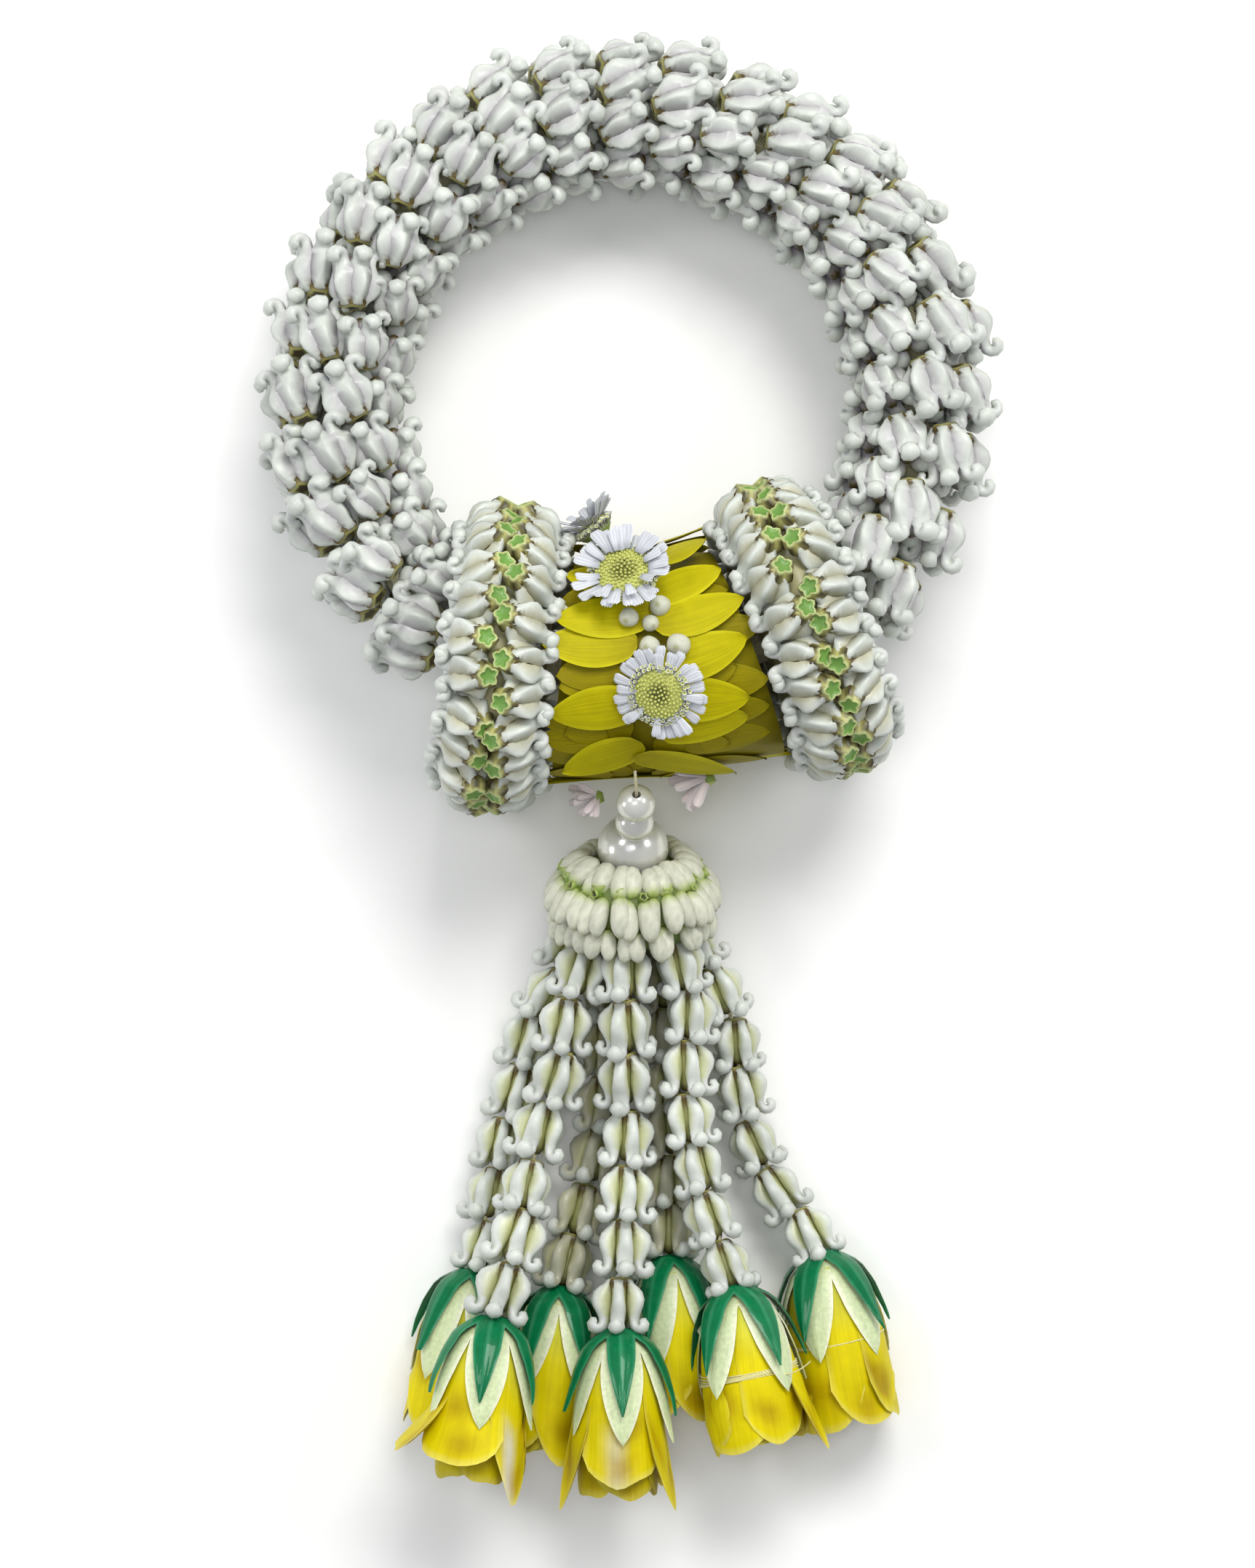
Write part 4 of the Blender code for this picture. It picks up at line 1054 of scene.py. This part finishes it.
def daisy_ray(rng, wilted, start=0.0):
    """A strap-shaped ray along X, with two grooves and a notched round end. Its length is 1."""
    dip, side = rng.uniform(-0.05, 0.05), rng.uniform(-0.05, 0.05)
    breadth, curl = (0.075, rng.uniform(-0.5, 0.5)) if wilted else (rng.uniform(0.05, 0.07), 0.0)
    length = rng.uniform(0.9, 1.04)

    def surface(across, along):
        width = breadth + 0.055 * ease(along, 0.0, 0.75)
        if along > 0.86:
            width *= math.sqrt(max(1 - ((along - 0.86) / 0.17) ** 2, 0.06))
        notch = 0.05 * math.cos(1.5 * math.pi * across) ** 2 * ease(along, 0.86, 1.0)
        x = start + (length - start) * along - notch * 0.5
        z = dip * along**2 + 0.008 * math.cos(3 * math.pi * across) + 0.06 * width * across * across
        z += curl * 0.25 * math.sin(3 * along) + 0.5 * abs(curl) * width * abs(across)
        return Vector((x, across * width + side * along**2, z))

    def paint(across, along):
        if wilted:
            return RAY_WILTED.lerp(RAY_SHADE, 0.5 * abs(across))
        groove = 0.5 + 0.5 * abs(math.sin(1.5 * math.pi * across))
        return RAY_SHADE.lerp(RAY, ease(along, 0.0, 0.4) * groove)

    return sheet(surface, 6, 8, 0.045, paint)


def foot_on_band(node, share, angle):
    """Where the stalk of a CAD flower stands on the band, and the direction that it stands in."""
    axis_foot = band_point(share, angle, 0)
    outward = (band_point(share, angle, BAND_RADIUS) - axis_foot).normalized()
    vertices = frame["nodes"][node].data.vertices
    away = min(((vertex.co - FRAME_SHIFT) / MM - axis_foot).dot(outward) for vertex in vertices)
    return axis_foot + outward * away, outward


def daisy_base(disc):
    """Stalk and disc of a daisy."""
    return turned((
        (0, 0, STALK_GREEN), (1.3, 0.1, STALK_GREEN), (1.2, STALK * 0.5, STALK_GREEN),
        (disc * 1.05, STALK + 0.2, STALK_GREEN), (disc * 1.15, STALK + 1.1, RAY_SHADE),
        (disc, STALK + 1.7, DISC), (disc * 0.6, STALK + 2.3, DISC), (disc * 0.22, STALK + 2.0, DISC_HOLLOW_SHADE),
        (0, STALK + 1.8, DISC_HOLLOW_SHADE),
    ), 24)


def make_daisies(material):
    rng = random.Random(71)
    tube = turned((
        (0, 0, DISC), (0.28, 0.1, DISC), (0.26, 1.0, RAY_SHADE), (0.45, 1.7, RAY), (0.26, 1.6, DISC),
        (0, 1.1, DISC_HOLLOW_SHADE),
    ), 7, lambda angle, height: 1 + 0.2 * math.cos(7 * angle / 2) ** 2 * ease(height, 1.0, 1.7))
    knob = turned((
        (0, 0, DISC_HOLLOW_SHADE), (0.26, 0.1, DISC_HOLLOW_SHADE), (0.33, 0.55, DISC), (0.22, 0.85, DISC),
        (0, 0.95, DISC),
    ), 6)
    tube_pick, knob_pick, base_pick = (RAY_KINDS + i for i in range(3))
    for node, share, angle, radius, part, rays, rise, lean in DAISIES:
        disc = radius * part
        kinds = [daisy_ray(rng, False, part - 0.02) for _ in range(RAY_KINDS)]
        kinds += [tube, knob, daisy_base(disc)]
        foot, outward = foot_on_band(node, share, angle)
        turn = (outward + Vector(lean)).to_track_quat("Z", "Y")
        spots = [(foot, turn, (1, 1, 1), base_pick, 0.0)]
        for count, reach, height in ((rays, 1.0, 0.9), (rays // 3, 0.9, 1.3)):
            for i in range(count):
                if rng.random() < MISSING_RAYS:
                    continue
                spin = about(UP, 360 / count * i + rng.uniform(-4, 4))
                pitch = about(Y, -rise * (1 + height - 0.9) - rng.uniform(-6, 6))
                size = radius * reach * rng.uniform(0.94, 1.03)
                place = foot + turn @ Vector((0, 0, STALK + height))
                spots.append(turned_spot(rng, place, turn @ spin @ pitch, size, RAY_KINDS))

        def floret(flat, height, face, size, pick):
            place = foot + turn @ (flat + UP * height)
            spots.append(spot(place, turn @ face, 0, size, pick, rng.uniform(-1, 1)))

        count = int(DISC_FLORETS * disc)
        for i in range(count):
            away = disc * 0.97 * math.sqrt((i + 0.5) / count)
            height = STALK + 1.15 + 0.95 * math.sin(math.pi * min(0.2 + 0.75 * away / disc, 1))
            flat = Vector((math.cos(GOLDEN_ANGLE * i), math.sin(GOLDEN_ANGLE * i), 0)) * away
            floret(flat, height, flat + UP * 8, rng.uniform(0.85, 1.0), knob_pick)
        for count, reach, lift in RIM_FLORETS:
            for i in range(count):
                around = 2 * math.pi * (i + rng.uniform(-0.25, 0.25)) / count
                flat = Vector((math.cos(around), math.sin(around), 0))
                face = flat * rng.uniform(0.5, 1.1) + UP
                floret(flat * (disc * reach), STALK + lift, face, rng.uniform(0.75, 0.95), tube_pick)
        copies(node.replace("daisy", "head"), kinds, spots, material, (node,))
    for node, share, angle, ahead, length in WILTED:
        kinds = [daisy_ray(rng, True) for _ in range(RAY_KINDS)]
        kinds.append(turned((
            (0, -1.0, STALK_GREEN), (0.9, -0.6, STALK_GREEN), (1.3, 1.2, STALK_GREEN), (0, 2.0, DISC),
        ), 10))
        foot, outward = foot_on_band(node, share, angle)
        start = foot + outward * 1.2
        spots = [spot(start, outward, 0, 1.0, RAY_KINDS)]
        turn = facing(UP, Vector(ahead))
        for i in range(WILTED_RAYS):
            spin = about(UP, 11 * (i - WILTED_RAYS // 2) + rng.uniform(-8, 8))
            pitch = about(Y, rng.uniform(-38, 12))
            roll = about(X, rng.uniform(-40, 40))
            size = length * rng.uniform(0.86, 1.1)
            spots.append(turned_spot(rng, start, turn @ spin @ pitch @ roll, size, RAY_KINDS))
        copies(node.replace("daisy", "head"), kinds, spots, material, (node,))


BUD = srgb("#CFD0BD")
BUD_SHADE = srgb("#B6B498")
BUD_GREEN = srgb("#A3B45E")
CALYX = srgb("#7E9A3C")
# Dark olive painted shade in the hollows: the cap's core between the buds and inside the empty cups
CALYX_HOLLOW_SHADE = srgb("#3E4414")


def jasmine_bud(rng, point):
    """A plump closed bud of length 1, from its calyx at the origin to its tip, with its petals wound."""
    twist, bow = rng.uniform(1.2, 2.4), rng.uniform(-0.05, 0.05)
    profile = (
        (0, 0.0, BUD_GREEN), (0.10, 0.01, BUD_GREEN), (0.18, 0.12, BUD_GREEN.lerp(BUD, 0.5)),
        (0.222, 0.28, BUD), (0.24, 0.45, BUD), (0.238, 0.6, BUD), (0.205, 0.75, BUD),
        (0.14 + 0.03 * (1 - point), 0.88, BUD), (0.06, 0.97, BUD_SHADE), (0, 1.0, BUD_SHADE),
    )

    def fold(angle, height):
        step = (5 * angle / (2 * math.pi) + twist * height) % 1.0
        return 1 + 0.07 * (step - 0.5) * (1 - ease(step, 0.85, 1.0))

    form = turned(profile, 15, fold)
    form.points = [Vector((p.x + bow * math.sin(math.pi * p.z), p.y, p.z)) for p in form.points]
    # Painted shade in the folds between the wound petals: a darker strip beside each
    for index, point_at in enumerate(form.points):
        step = (5 * math.atan2(point_at.y, point_at.x) / (2 * math.pi) + twist * point_at.z) % 1.0
        if step < 0.2:
            form.paint[index] = form.paint[index] * 0.86
    return form


def make_white_buds(material):
    rng = random.Random(13)
    ball = turned((
        (0, -1.0, CALYX), (0.35, -0.95, CALYX), (0.72, -0.72, BUD_GREEN), (0.95, -0.3, BUD), (1.0, 0.05, BUD),
        (0.93, 0.4, BUD), (0.72, 0.72, BUD), (0.4, 0.93, BUD), (0.14, 1.03, BUD_SHADE), (0, 1.06, BUD_GREEN),
    ), 20, lambda angle, height: 1 + 0.035 * math.cos(3 * angle + 2.2 * height))
    for number in range(5):
        name = f"white_bud_{number + 1}"
        low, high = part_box(name)
        radius = (high.z - low.z) / 2 / MM
        centre = ((low + high) / 2 - FRAME_SHIFT) / MM
        lean = Vector((rng.uniform(-0.5, 0.5), rng.uniform(-0.6, 0.4), 1))
        spots = [spot(centre, lean.normalized(), rng.uniform(0, 360), radius * 0.98)]
        copies(f"round_bud_{number + 1}", [ball], spots, material, (name,))


# Pearls and cap


def bead(centre, radius):
    """A ball with a hole through it along the pearls' rise."""
    form, placed = Form(), Form()
    hole = math.asin(PEARL_BORE / radius)
    rings = []
    for step in range(29):
        angle = hole + (math.pi - 2 * hole) * step / 28
        flat = radius * math.sin(angle)
        ring = []
        for i in range(56):
            side = 2 * math.pi * i / 56
            place = (flat * math.cos(side), flat * math.sin(side), radius * math.cos(angle))
            ring.append(form.point(place, BUD, (side, angle, 0)))
        rings.append(ring)
    form.loft([*rings, rings[0]])
    turn = PEARL_RISE.to_track_quat("Z", "Y").to_matrix().to_4x4()
    placed.add(form, Matrix.Translation(centre) @ turn)
    return placed


def make_pearls(material, cotton):
    middle = PEARL_CENTRE + PEARL_RISE * (PEARL_LARGE + PEARL_SMALL + GAP)
    upper = middle + PEARL_RISE * (2 * PEARL_SMALL + GAP)
    for name, centre, radius in (
        ("large", PEARL_CENTRE, PEARL_LARGE), ("middle", middle, PEARL_SMALL), ("upper", upper, PEARL_SMALL)
    ):
        obj = new_object(f"bead_{name}", bead(centre, radius).mesh(f"bead_{name}", FRAME_SHIFT))
        obj.data.materials.append(material)
        declare(obj, (f"pearl_{name}",))
    end = upper + Vector((-0.2, 6.6, 6.0))
    bend = upper + PEARL_RISE * (PEARL_SMALL + 1.2)
    foot = PEARL_CENTRE - PEARL_RISE * (PEARL_LARGE - 1.4)
    arc = [end.lerp(bend, i / 6) + UP * (0.8 * math.sin(math.pi * i / 6)) for i in range(6)]
    run = [bend.lerp(foot, i / 20) for i in range(21)]
    threads("bead_thread", [arc + run], THREAD_RADIUS * 0.7, cotton, ("pearl_thread",))


CAP_ROWS = (
    # buds, from (along, radius) to (along, radius), width against length, kind
    (24, (7.0, 14.5), (11.4, 8.6), 1.18, 0),
    (33, (6.8, 13.9), (-0.3, 18.2), 0.98, 1),
    (30, (0.2, 14.4), (-5.9, 16.8), 1.16, 1),
)
# Radius and place along the cap's axis of its core
CAP_CORE = (
    (0.0, 7.9), (6.0, 8.2), (9.0, 9.3), (11.5, 9.2), (13.9, 7.6), (14.6, 2.0), (14.4, -2.0), (13.6, -4.4),
    (11.0, -4.2), (0.0, -3.0),
)
# Empty cups of buds between the rows: place along the axis, radius, how many, and how far they face along it
CAP_CUPS = ((8.6, 13.9, 13, 0.8), (7.6, 15.0, 10, 0.4))


def cap_point(along, radius, angle):
    angle = math.radians(angle)
    return CAP_CENTRE + CAP_AXIS * along + (X * math.cos(angle) + CAP_TOP * math.sin(angle)) * radius


def make_cap(material):
    rng = random.Random(41)
    kinds = [jasmine_bud(rng, 0.0), jasmine_bud(rng, 1.0)]
    # The core is calyx green darkened as painted shade, where it shows between the buds
    green = CALYX_HOLLOW_SHADE.lerp(CALYX, 0.45)
    core = ringed(CAP_CORE, 40, lambda i, radius, along: (cap_point(along, radius, 360 / 40 * i), green))
    cup = turned((
        (0, -1.6, CALYX), (0.55, -1.5, CALYX), (0.62, -0.4, CALYX), (0.9, 0.45, BUD_GREEN),
        (0.78, 0.5, BUD_GREEN), (0.5, -0.1, CALYX_HOLLOW_SHADE), (0, -0.4, CALYX_HOLLOW_SHADE),
    ), 10, lambda angle, height: 1 + 0.22 * ease(height, -0.3, 0.5) * math.cos(5 * angle))
    kinds += [core, cup]
    spots = [as_made(2)]
    for row, (count, foot, tip, width, pick) in enumerate(CAP_ROWS):
        for i in range(count):
            angle = 360 / count * (i + 0.5 * row + 0.11 * (-1) ** i) + rng.uniform(-2.2, 2.2)
            base = cap_point(foot[0] + rng.uniform(-0.5, 0.5), foot[1] + rng.uniform(-0.4, 0.4), angle)
            along, radius = tip[0] + rng.uniform(-0.5, 0.5), tip[1] + rng.uniform(-0.5, 0.5)
            end = cap_point(along, radius, angle + rng.uniform(-5, 5))
            length = (end - base).length * rng.uniform(0.95, 1.08)
            across = length * width * rng.uniform(0.92, 1.12)
            axis, spin = (end - base).normalized(), rng.uniform(0, 360)
            spots.append(spot(base, axis, spin, (across, across, length), pick, rng.uniform(-1, 1)))
    for along, radius, count, lean in CAP_CUPS:
        for i in range(count):
            angle = 360 / count * (i + 0.3) + rng.uniform(-14, 14)
            place = cap_point(along, radius, angle)
            out = (cap_point(along, radius + 5, angle) - place).normalized()
            face = out * (1 - lean) + CAP_AXIS * lean + jitter(rng, 0.3)
            spots.append(spot(place, face.normalized(), 0, rng.uniform(1.0, 1.5), 3, rng.uniform(-1, 1)))
    copies("cap_buds", kinds, spots, material, ("bud_cap",))


# Roses

ROSE = srgb("#E2D100")
# Amber painted shade in the dents of the petals
ROSE_DENT_SHADE = srgb("#A88600")
ROSE_RIM = srgb("#EDE68A")
ROSE_PATCH = srgb("#DEDBD2")
# Painted shade inside the bloom: the inner faces of the petals, the petals within and the bowl they stand in
ROSE_INSIDE_SHADE = srgb("#B08A00")
ROSE_BOWL_SHADE = srgb("#8F8410")
ROSE_BASE = srgb("#C7CC4A")
SEPAL = srgb("#D2E0AE")
SEPAL_EDGE = srgb("#F6F7DA")
STRIP = srgb("#007444")
STRIP_EDGE = srgb("#4FA67C")
# Radius of a bud against the distance from its calyx, before its petals flare
SLIM = ((0, 2.5), (3, 5.2), (8, 7.0), (13, 8.0), (18, 8.4), (24, 8.4), (31, 8.0), (40, 7.0))
PLUMP = ((0, 2.5), (3, 5.4), (8, 7.6), (14, 8.9), (20, 9.6), (26, 9.7), (31, 9.1), (40, 8.0))
ROSES = (
    # shape, angle of the first strip, length within, and the outer petals as angle, length, flare, half
    # width, how pointed, and how pale in a streak. An angle of 0 is to the left, 90 up to the eye and 180 to
    # the right.
    (SLIM, 118, 34, (
        (70, 34, 0.6, 58, 0.2, 0), (150, 33, 0.4, 55, 0.2, 0), (0, 33, 1.0, 55, 0.2, 0),
        (270, 34, 0.5, 60, 0.2, 0),
    )),
    (SLIM, 88, 34.5, (
        (290, 31, 1.5, 60, 0.2, 0), (215, 32.5, 1.5, 52, 0.2, 0), (10, 28.5, 8.0, 38, 0.1, 0),
        (144, 36.5, 2.4, 48, 0.38, 0.9), (66, 29.5, 3.6, 60, 0.08, 0),
    )),
    (SLIM, 54, 36, (
        (40, 35, 0.6, 56, 0.2, 0), (120, 36, 0.6, 56, 0.2, 0), (185, 37.5, 3.0, 48, 0.3, 0),
        (280, 35, 0.5, 60, 0.2, 0),
    )),
    (SLIM, 92, 35, (
        (280, 32, 1.5, 62, 0.15, 0), (222, 32, 1.5, 52, 0.2, 0), (16, 36.5, 4.6, 40, 0.5, 0),
        (162, 36, 4.0, 42, 0.4, 0), (96, 31, 1.2, 56, 0.1, 0.6),
    )),
    (SLIM, 62, 33, (
        (60, 33, 0.4, 56, 0.15, 0), (130, 33.5, 0.4, 56, 0.15, 0), (200, 32, 0.6, 56, 0.2, 0),
        (300, 33, 0.5, 64, 0.2, 0),
    )),
    (PLUMP, 52, 33.5, (
        (58, 33, 0.2, 54, 0.08, 0), (122, 32, 0.2, 46, 0.1, 0), (168, 35.5, 4.2, 38, 0.25, 0),
        (10, 33, 0.4, 52, 0.1, 0), (240, 33, 0.2, 60, 0.05, 0), (310, 33, 0.2, 55, 0.05, 0),
    )),
    (PLUMP, 60, 36.5, (
        (52, 36.5, 0.6, 60, 0.08, 0), (122, 36, 0.8, 50, 0.1, 0), (165, 35.5, 0.8, 50, 0.1, 0),
        (0, 35, 0.3, 52, 0.1, 0), (235, 36, 0.2, 60, 0.05, 0), (305, 36, 0.2, 55, 0.05, 0),
    )),
)
LEAVES = 5  # sepals, strips and petals of a whorl
SEPAL_LENGTH, SEPAL_HALF = (20.5, 22.5), 4.4
STRIP_LENGTH, STRIP_HALF = (16.2, 17.8), 2.95
STRIP_ENDS = (0.06, 0.06, 0.3)  # widths at the end against the whole, of which one is drawn
INNER_PETALS = (
    # angle, length against the whole from and to, flare, half width, how pointed, no pale streak, how far in
    (36, 0.93, 0.97, 0.0, 58, 0.08, 0, 0.10),
    (0, 0.86, 0.92, -1.5, 62, 0.06, 0, 0.22),
)
# Tying threads: the step between their turns, points at 24 to a turn, and points of the loose end that
# sticks out beside the bud
TIES = {5: (0.42, 135, 9), 6: (0.2, 55, 0)}
TIE_PLACE, TIE_RADIUS = 0.48, 0.14


def on_profile(profile, along):
    for (a, low), (b, high) in zip(profile, profile[1:]):
        if along <= b:
            return low + (high - low) * ease(along, a, b)
    return profile[-1][1]


def rose_petal(rng, profile, length, flare, half_angle, point, pale=0.0, inset=0.0):
    """A petal wrapped round the bud's own Z axis, with its middle toward X."""
    tilt, roll = rng.uniform(0.15, 0.45), rng.uniform(0.2, 0.8)
    wave, phase = rng.uniform(0.1, 0.3), rng.uniform(0, 6)
    shift, ragged = rng.uniform(-0.2, 0.2), rng.uniform(0.004, 0.016)
    dents = [(rng.uniform(0.1, 0.35), rng.uniform(0.6, 0.92), rng.uniform(-0.8, 0.8)) for _ in range(2)]

    def surface(across, along):
        peak = 1 - point * abs(across - shift) ** 1.4 - 0.14 * abs(across) ** 5
        peak -= ragged * math.cos(7 * across + phase)
        z = 1.0 + (length * peak - 1.0) * along
        radius = on_profile(profile, z) * (1 - inset) + 0.4 + tilt * across * ease(along, 0, 0.4)
        radius += flare * ease(z, 12, length) ** 2 * (1 + 0.3 * across * across)
        radius += roll * ease(along, 0.8, 1.0) ** 2
        radius += wave * ease(along, 0.3, 1) * math.sin(4 * across + phase)
        for depth, at, aside in dents:
            radius -= depth * math.exp(-(((along - at) / 0.09) ** 2) - ((across - aside) / 0.3) ** 2)
        narrow = (0.7 + 0.3 * ease(along, 0, 0.5)) * (1 - 0.03 * flare * along)
        angle = math.radians(half_angle) * across * narrow
        return Vector((radius * math.cos(angle), radius * math.sin(angle), z))

    def paint(across, along):
        rim = max(ease(along, 0.955, 1.0), 0.6 * ease(abs(across), 0.92, 1.0) * ease(along, 0.5, 0.8))
        streak = ease(along, 0.55, 0.7) * ease(abs(across - 0.35 + 0.2 * along), 0.35, 0.05)
        colour = ROSE_BASE.lerp(ROSE, ease(along, 0.1, 0.45)).lerp(ROSE_PATCH, pale * streak)
        # Painted shade in the dents: amber where the petal is pressed in
        dent_shade = sum(
            math.exp(-(((along - at) / 0.1) ** 2) - ((across - aside) / 0.35) ** 2) for _, at, aside in dents
        )
        colour = colour.lerp(ROSE_DENT_SHADE, min(0.75 * dent_shade, 0.8)).lerp(ROSE_RIM, 0.4 * rim)
        # Petals within the bloom are painted darker, as shade
        return colour.lerp(ROSE_BOWL_SHADE, 0.8 if inset > 0.15 else 0.45 if inset > 0 else 0.0)

    # The petals' inner faces are painted amber, as shade inside the bloom
    return sheet(surface, 12, 18, 0.5, paint, ROSE_INSIDE_SHADE)


def leaf(rng, length, half_width, cut, stand, spread, curve, paint):
    """A sepal or strip: it leaves the bud's axis, lies along its side at X, and points along Z."""
    bend, hook = rng.uniform(-0.8, 0.8), rng.uniform(-0.5, 0.8)

    def surface(across, along):
        if cut is None:
            width = half_width * math.sin(math.pi * (0.2 + 0.8 * min(max(along, 0), 1))) ** 0.75
        else:
            width = half_width * (1 - (1 - cut) * ease(along, 0.3, 1.0) ** 1.3)
        z = length * along
        radius = on_profile(curve, z) + stand * ease(z, -1, 4) + spread * along
        radius += hook * ease(along, 0.7, 1.0) ** 2
        y = across * max(width, 0.02) + bend * along**2
        flat = max(radius * radius - 0.8 * y * y, 0.1)
        ridge = 0.3 * (1 - abs(across)) ** 3
        return Vector((math.sqrt(flat) + ridge, y, z))

    return sheet(surface, 8, 12, 0.35, paint)


def sepal_paint(across, along):
    colour = SEPAL.lerp(SEPAL_EDGE, ease(abs(across), 0.7, 1.0))
    return colour.lerp(BUD_GREEN, 0.35 * ease(along, 0.3, 0.0))


def strip_paint(across, _):
    rib, edge = 0.4 * ease(abs(across), 0.12, 0.0), 0.6 * ease(abs(across), 0.9, 1.0)
    return STRIP.lerp(STRIP_EDGE, max(rib, edge))


def make_roses(petal_material, sepal_material, strip_material, cotton):
    rng = random.Random(97)
    ties = []
    for number, (points, end, rose) in enumerate(zip(STRING_POINTS, ROSE_ENDS, ROSES)):
        profile, first, reach, petals = rose
        top, end = Vector(points[-1]), Vector(end)
        along = (end - top).normalized()
        start = top + along * ROSE_STEM
        side = along.cross(UP).normalized()
        over = side.cross(along).normalized()
        turn = Matrix((side, along.cross(side), along)).transposed().to_quaternion()

        def around(degrees, pick, shift=0.0):
            return start + along * shift, turn @ about(UP, -degrees), (1, 1, 1), pick, rng.uniform(-1, 1)

        kinds = [rose_petal(rng, profile, *petal) for _, *petal in petals]
        spots = [around(petal[0], i) for i, petal in enumerate(petals)]
        for i in range(LEAVES):
            for lag, low, high, *rest in INNER_PETALS:
                spots.append(around(lag + 72 * i + rng.uniform(-8, 8), len(kinds)))
                kinds.append(rose_petal(rng, profile, reach * rng.uniform(low, high), *rest))
        # The bowl: a dark olive filler painted as the shade inside the bloom
        kinds.append(turned((
            (0, 1.0, ROSE_BOWL_SHADE), (3.5, 3.0, ROSE_BOWL_SHADE), (5.8, 9.0, ROSE_BOWL_SHADE), (6.0, 20.0, ROSE_BOWL_SHADE),
            (5.0, reach * 0.80, ROSE_BOWL_SHADE), (2.6, reach * 0.87, ROSE_BOWL_SHADE), (0, reach * 0.88, ROSE_BOWL_SHADE),
        ), 20))
        spots.append(around(0, len(kinds) - 1))
        node = f"rose_{number + 1}"
        copies(f"{node}_bloom", kinds, spots, petal_material, (f"{node}_petals",))

        kinds = [
            leaf(
                rng, rng.uniform(*SEPAL_LENGTH), SEPAL_HALF, None, 0.9, rng.uniform(0.2, 1.8), profile,
                sepal_paint,
            )
            for _ in range(LEAVES)
        ]
        spots = [around(first + 3 + 72 * i + rng.uniform(-3, 3), i, 0.2) for i in range(LEAVES)]
        copies(f"{node}_calyx", kinds, spots, sepal_material, (f"{node}_sepals",))

        kinds = []
        for _ in range(LEAVES):
            length, cut, spread = rng.uniform(*STRIP_LENGTH), rng.choice(STRIP_ENDS), rng.uniform(1.0, 2.6)
            kinds.append(leaf(rng, length, STRIP_HALF, cut, 1.7, spread, profile, strip_paint))
        kinds.append(turned((
            (0, -1.2, STRIP), (2.0, -0.9, STRIP), (3.3, 0.3, STRIP), (2.9, 0.9, STRIP), (0, 0.2, STRIP),
        ), 20))
        spots = [around(first + 72 * i + rng.uniform(-3, 3), i, -0.8) for i in range(LEAVES)]
        spots.append(around(0, LEAVES))
        copies(f"{node}_strips", kinds, spots, strip_material, (f"{node}_star",))

        if number in TIES:
            step, count, loose = TIES[number]
            wound = []
            for i in range(count):
                angle = 2 * math.pi * (i / 24 - 0.25)
                at = reach * TIE_PLACE + step * i / 24 + 0.6 * math.sin(angle + 0.5 * i / 24)
                out = on_profile(profile, at) + 0.95
                wound.append(start + along * at + (side * math.cos(angle) + over * math.sin(angle)) * out)
            last = wound[-1]
            for i in range(1, loose + 1):
                wound.append(last - side * (0.85 * i) + over * (0.1 * i) + along * (0.3 * i - 0.05 * i * i))
            ties.append(wound)
    threads("rose_ties", ties, TIE_RADIUS, cotton)


COPIES = copies_tree()
THREADS = thread_tree()

make_camera()
make_light()
make_floor()

# Crown-flower lobes, fresh and waxy: nearly white flesh with a soft broad gloss
crown_flesh = painted(
    "crown_flower_waxy", (0.9, 0.4), 0.10, 0.10, 2.5, 0.08, Roughness=0.42, Coat_weight=0.08
)
# Yellow petals, laid by hand: thin and soft, with fine veins along them and a dull sheen
yellow_skin = painted(
    "yellow_petal_veined", (11, 1.2), 0.22, 0.10, 3.0, 0.12, Roughness=0.55, Specular_IOR_level=0.12
)
# Daisy rays: thin and papery, grooved lengthwise
daisy_skin = painted("daisy_ray_papery", (3.5, 0.6), 0.12, 0.06, 2.0, 0.08, Roughness=0.6)
# Jasmine buds, closed: matt cream skin with faint shade between the wound petals
bud_skin = painted("jasmine_bud_matt", (3, 0.8), 0.10, 0.14, 1.6, 0.06, Roughness=0.5)
# Rose petals, thicker and velvety
rose_skin = painted(
    "rose_petal_velvet", (12, 1.5), 0.16, 0.16, 6.0, 0.10, Roughness=0.5, Specular_IOR_level=0.12
)
# Rose sepals: pale, with grey speckles
sepal_skin = painted("rose_sepal_speckled", (5, 2.5), 0.10, 0.20, 0.9, 0.10, Roughness=0.45)
# Leaf strips, glossy and dark, with a pale rib
strip_skin = painted(
    "leaf_strip_glossy", (6, 1.0), 0.18, 0.18, 2.0, 0.08, Roughness=0.35, Coat_weight=0.25,
    Specular_IOR_level=0.12,
)
pearl_coat = make_pearl_material()
cotton = make_thread_material("cotton_thread_spun", "#9C9468", "#D8D3B4")
fine_thread = make_thread_material("cotton_thread_fine", "#CFC87C", "#E6DFA4")

cord = frame["nodes"]["ring_cord"]
cord.data.materials.clear()
cord.data.materials.append(cotton)

make_ring(crown_flesh)
make_collars(crown_flesh)
make_strings(crown_flesh, cotton)
make_band(yellow_skin)
make_daisies(daisy_skin)
make_white_buds(bud_skin)
make_cap(bud_skin)
make_pearls(pearl_coat, cotton)
make_roses(rose_skin, sepal_skin, strip_skin, fine_thread)
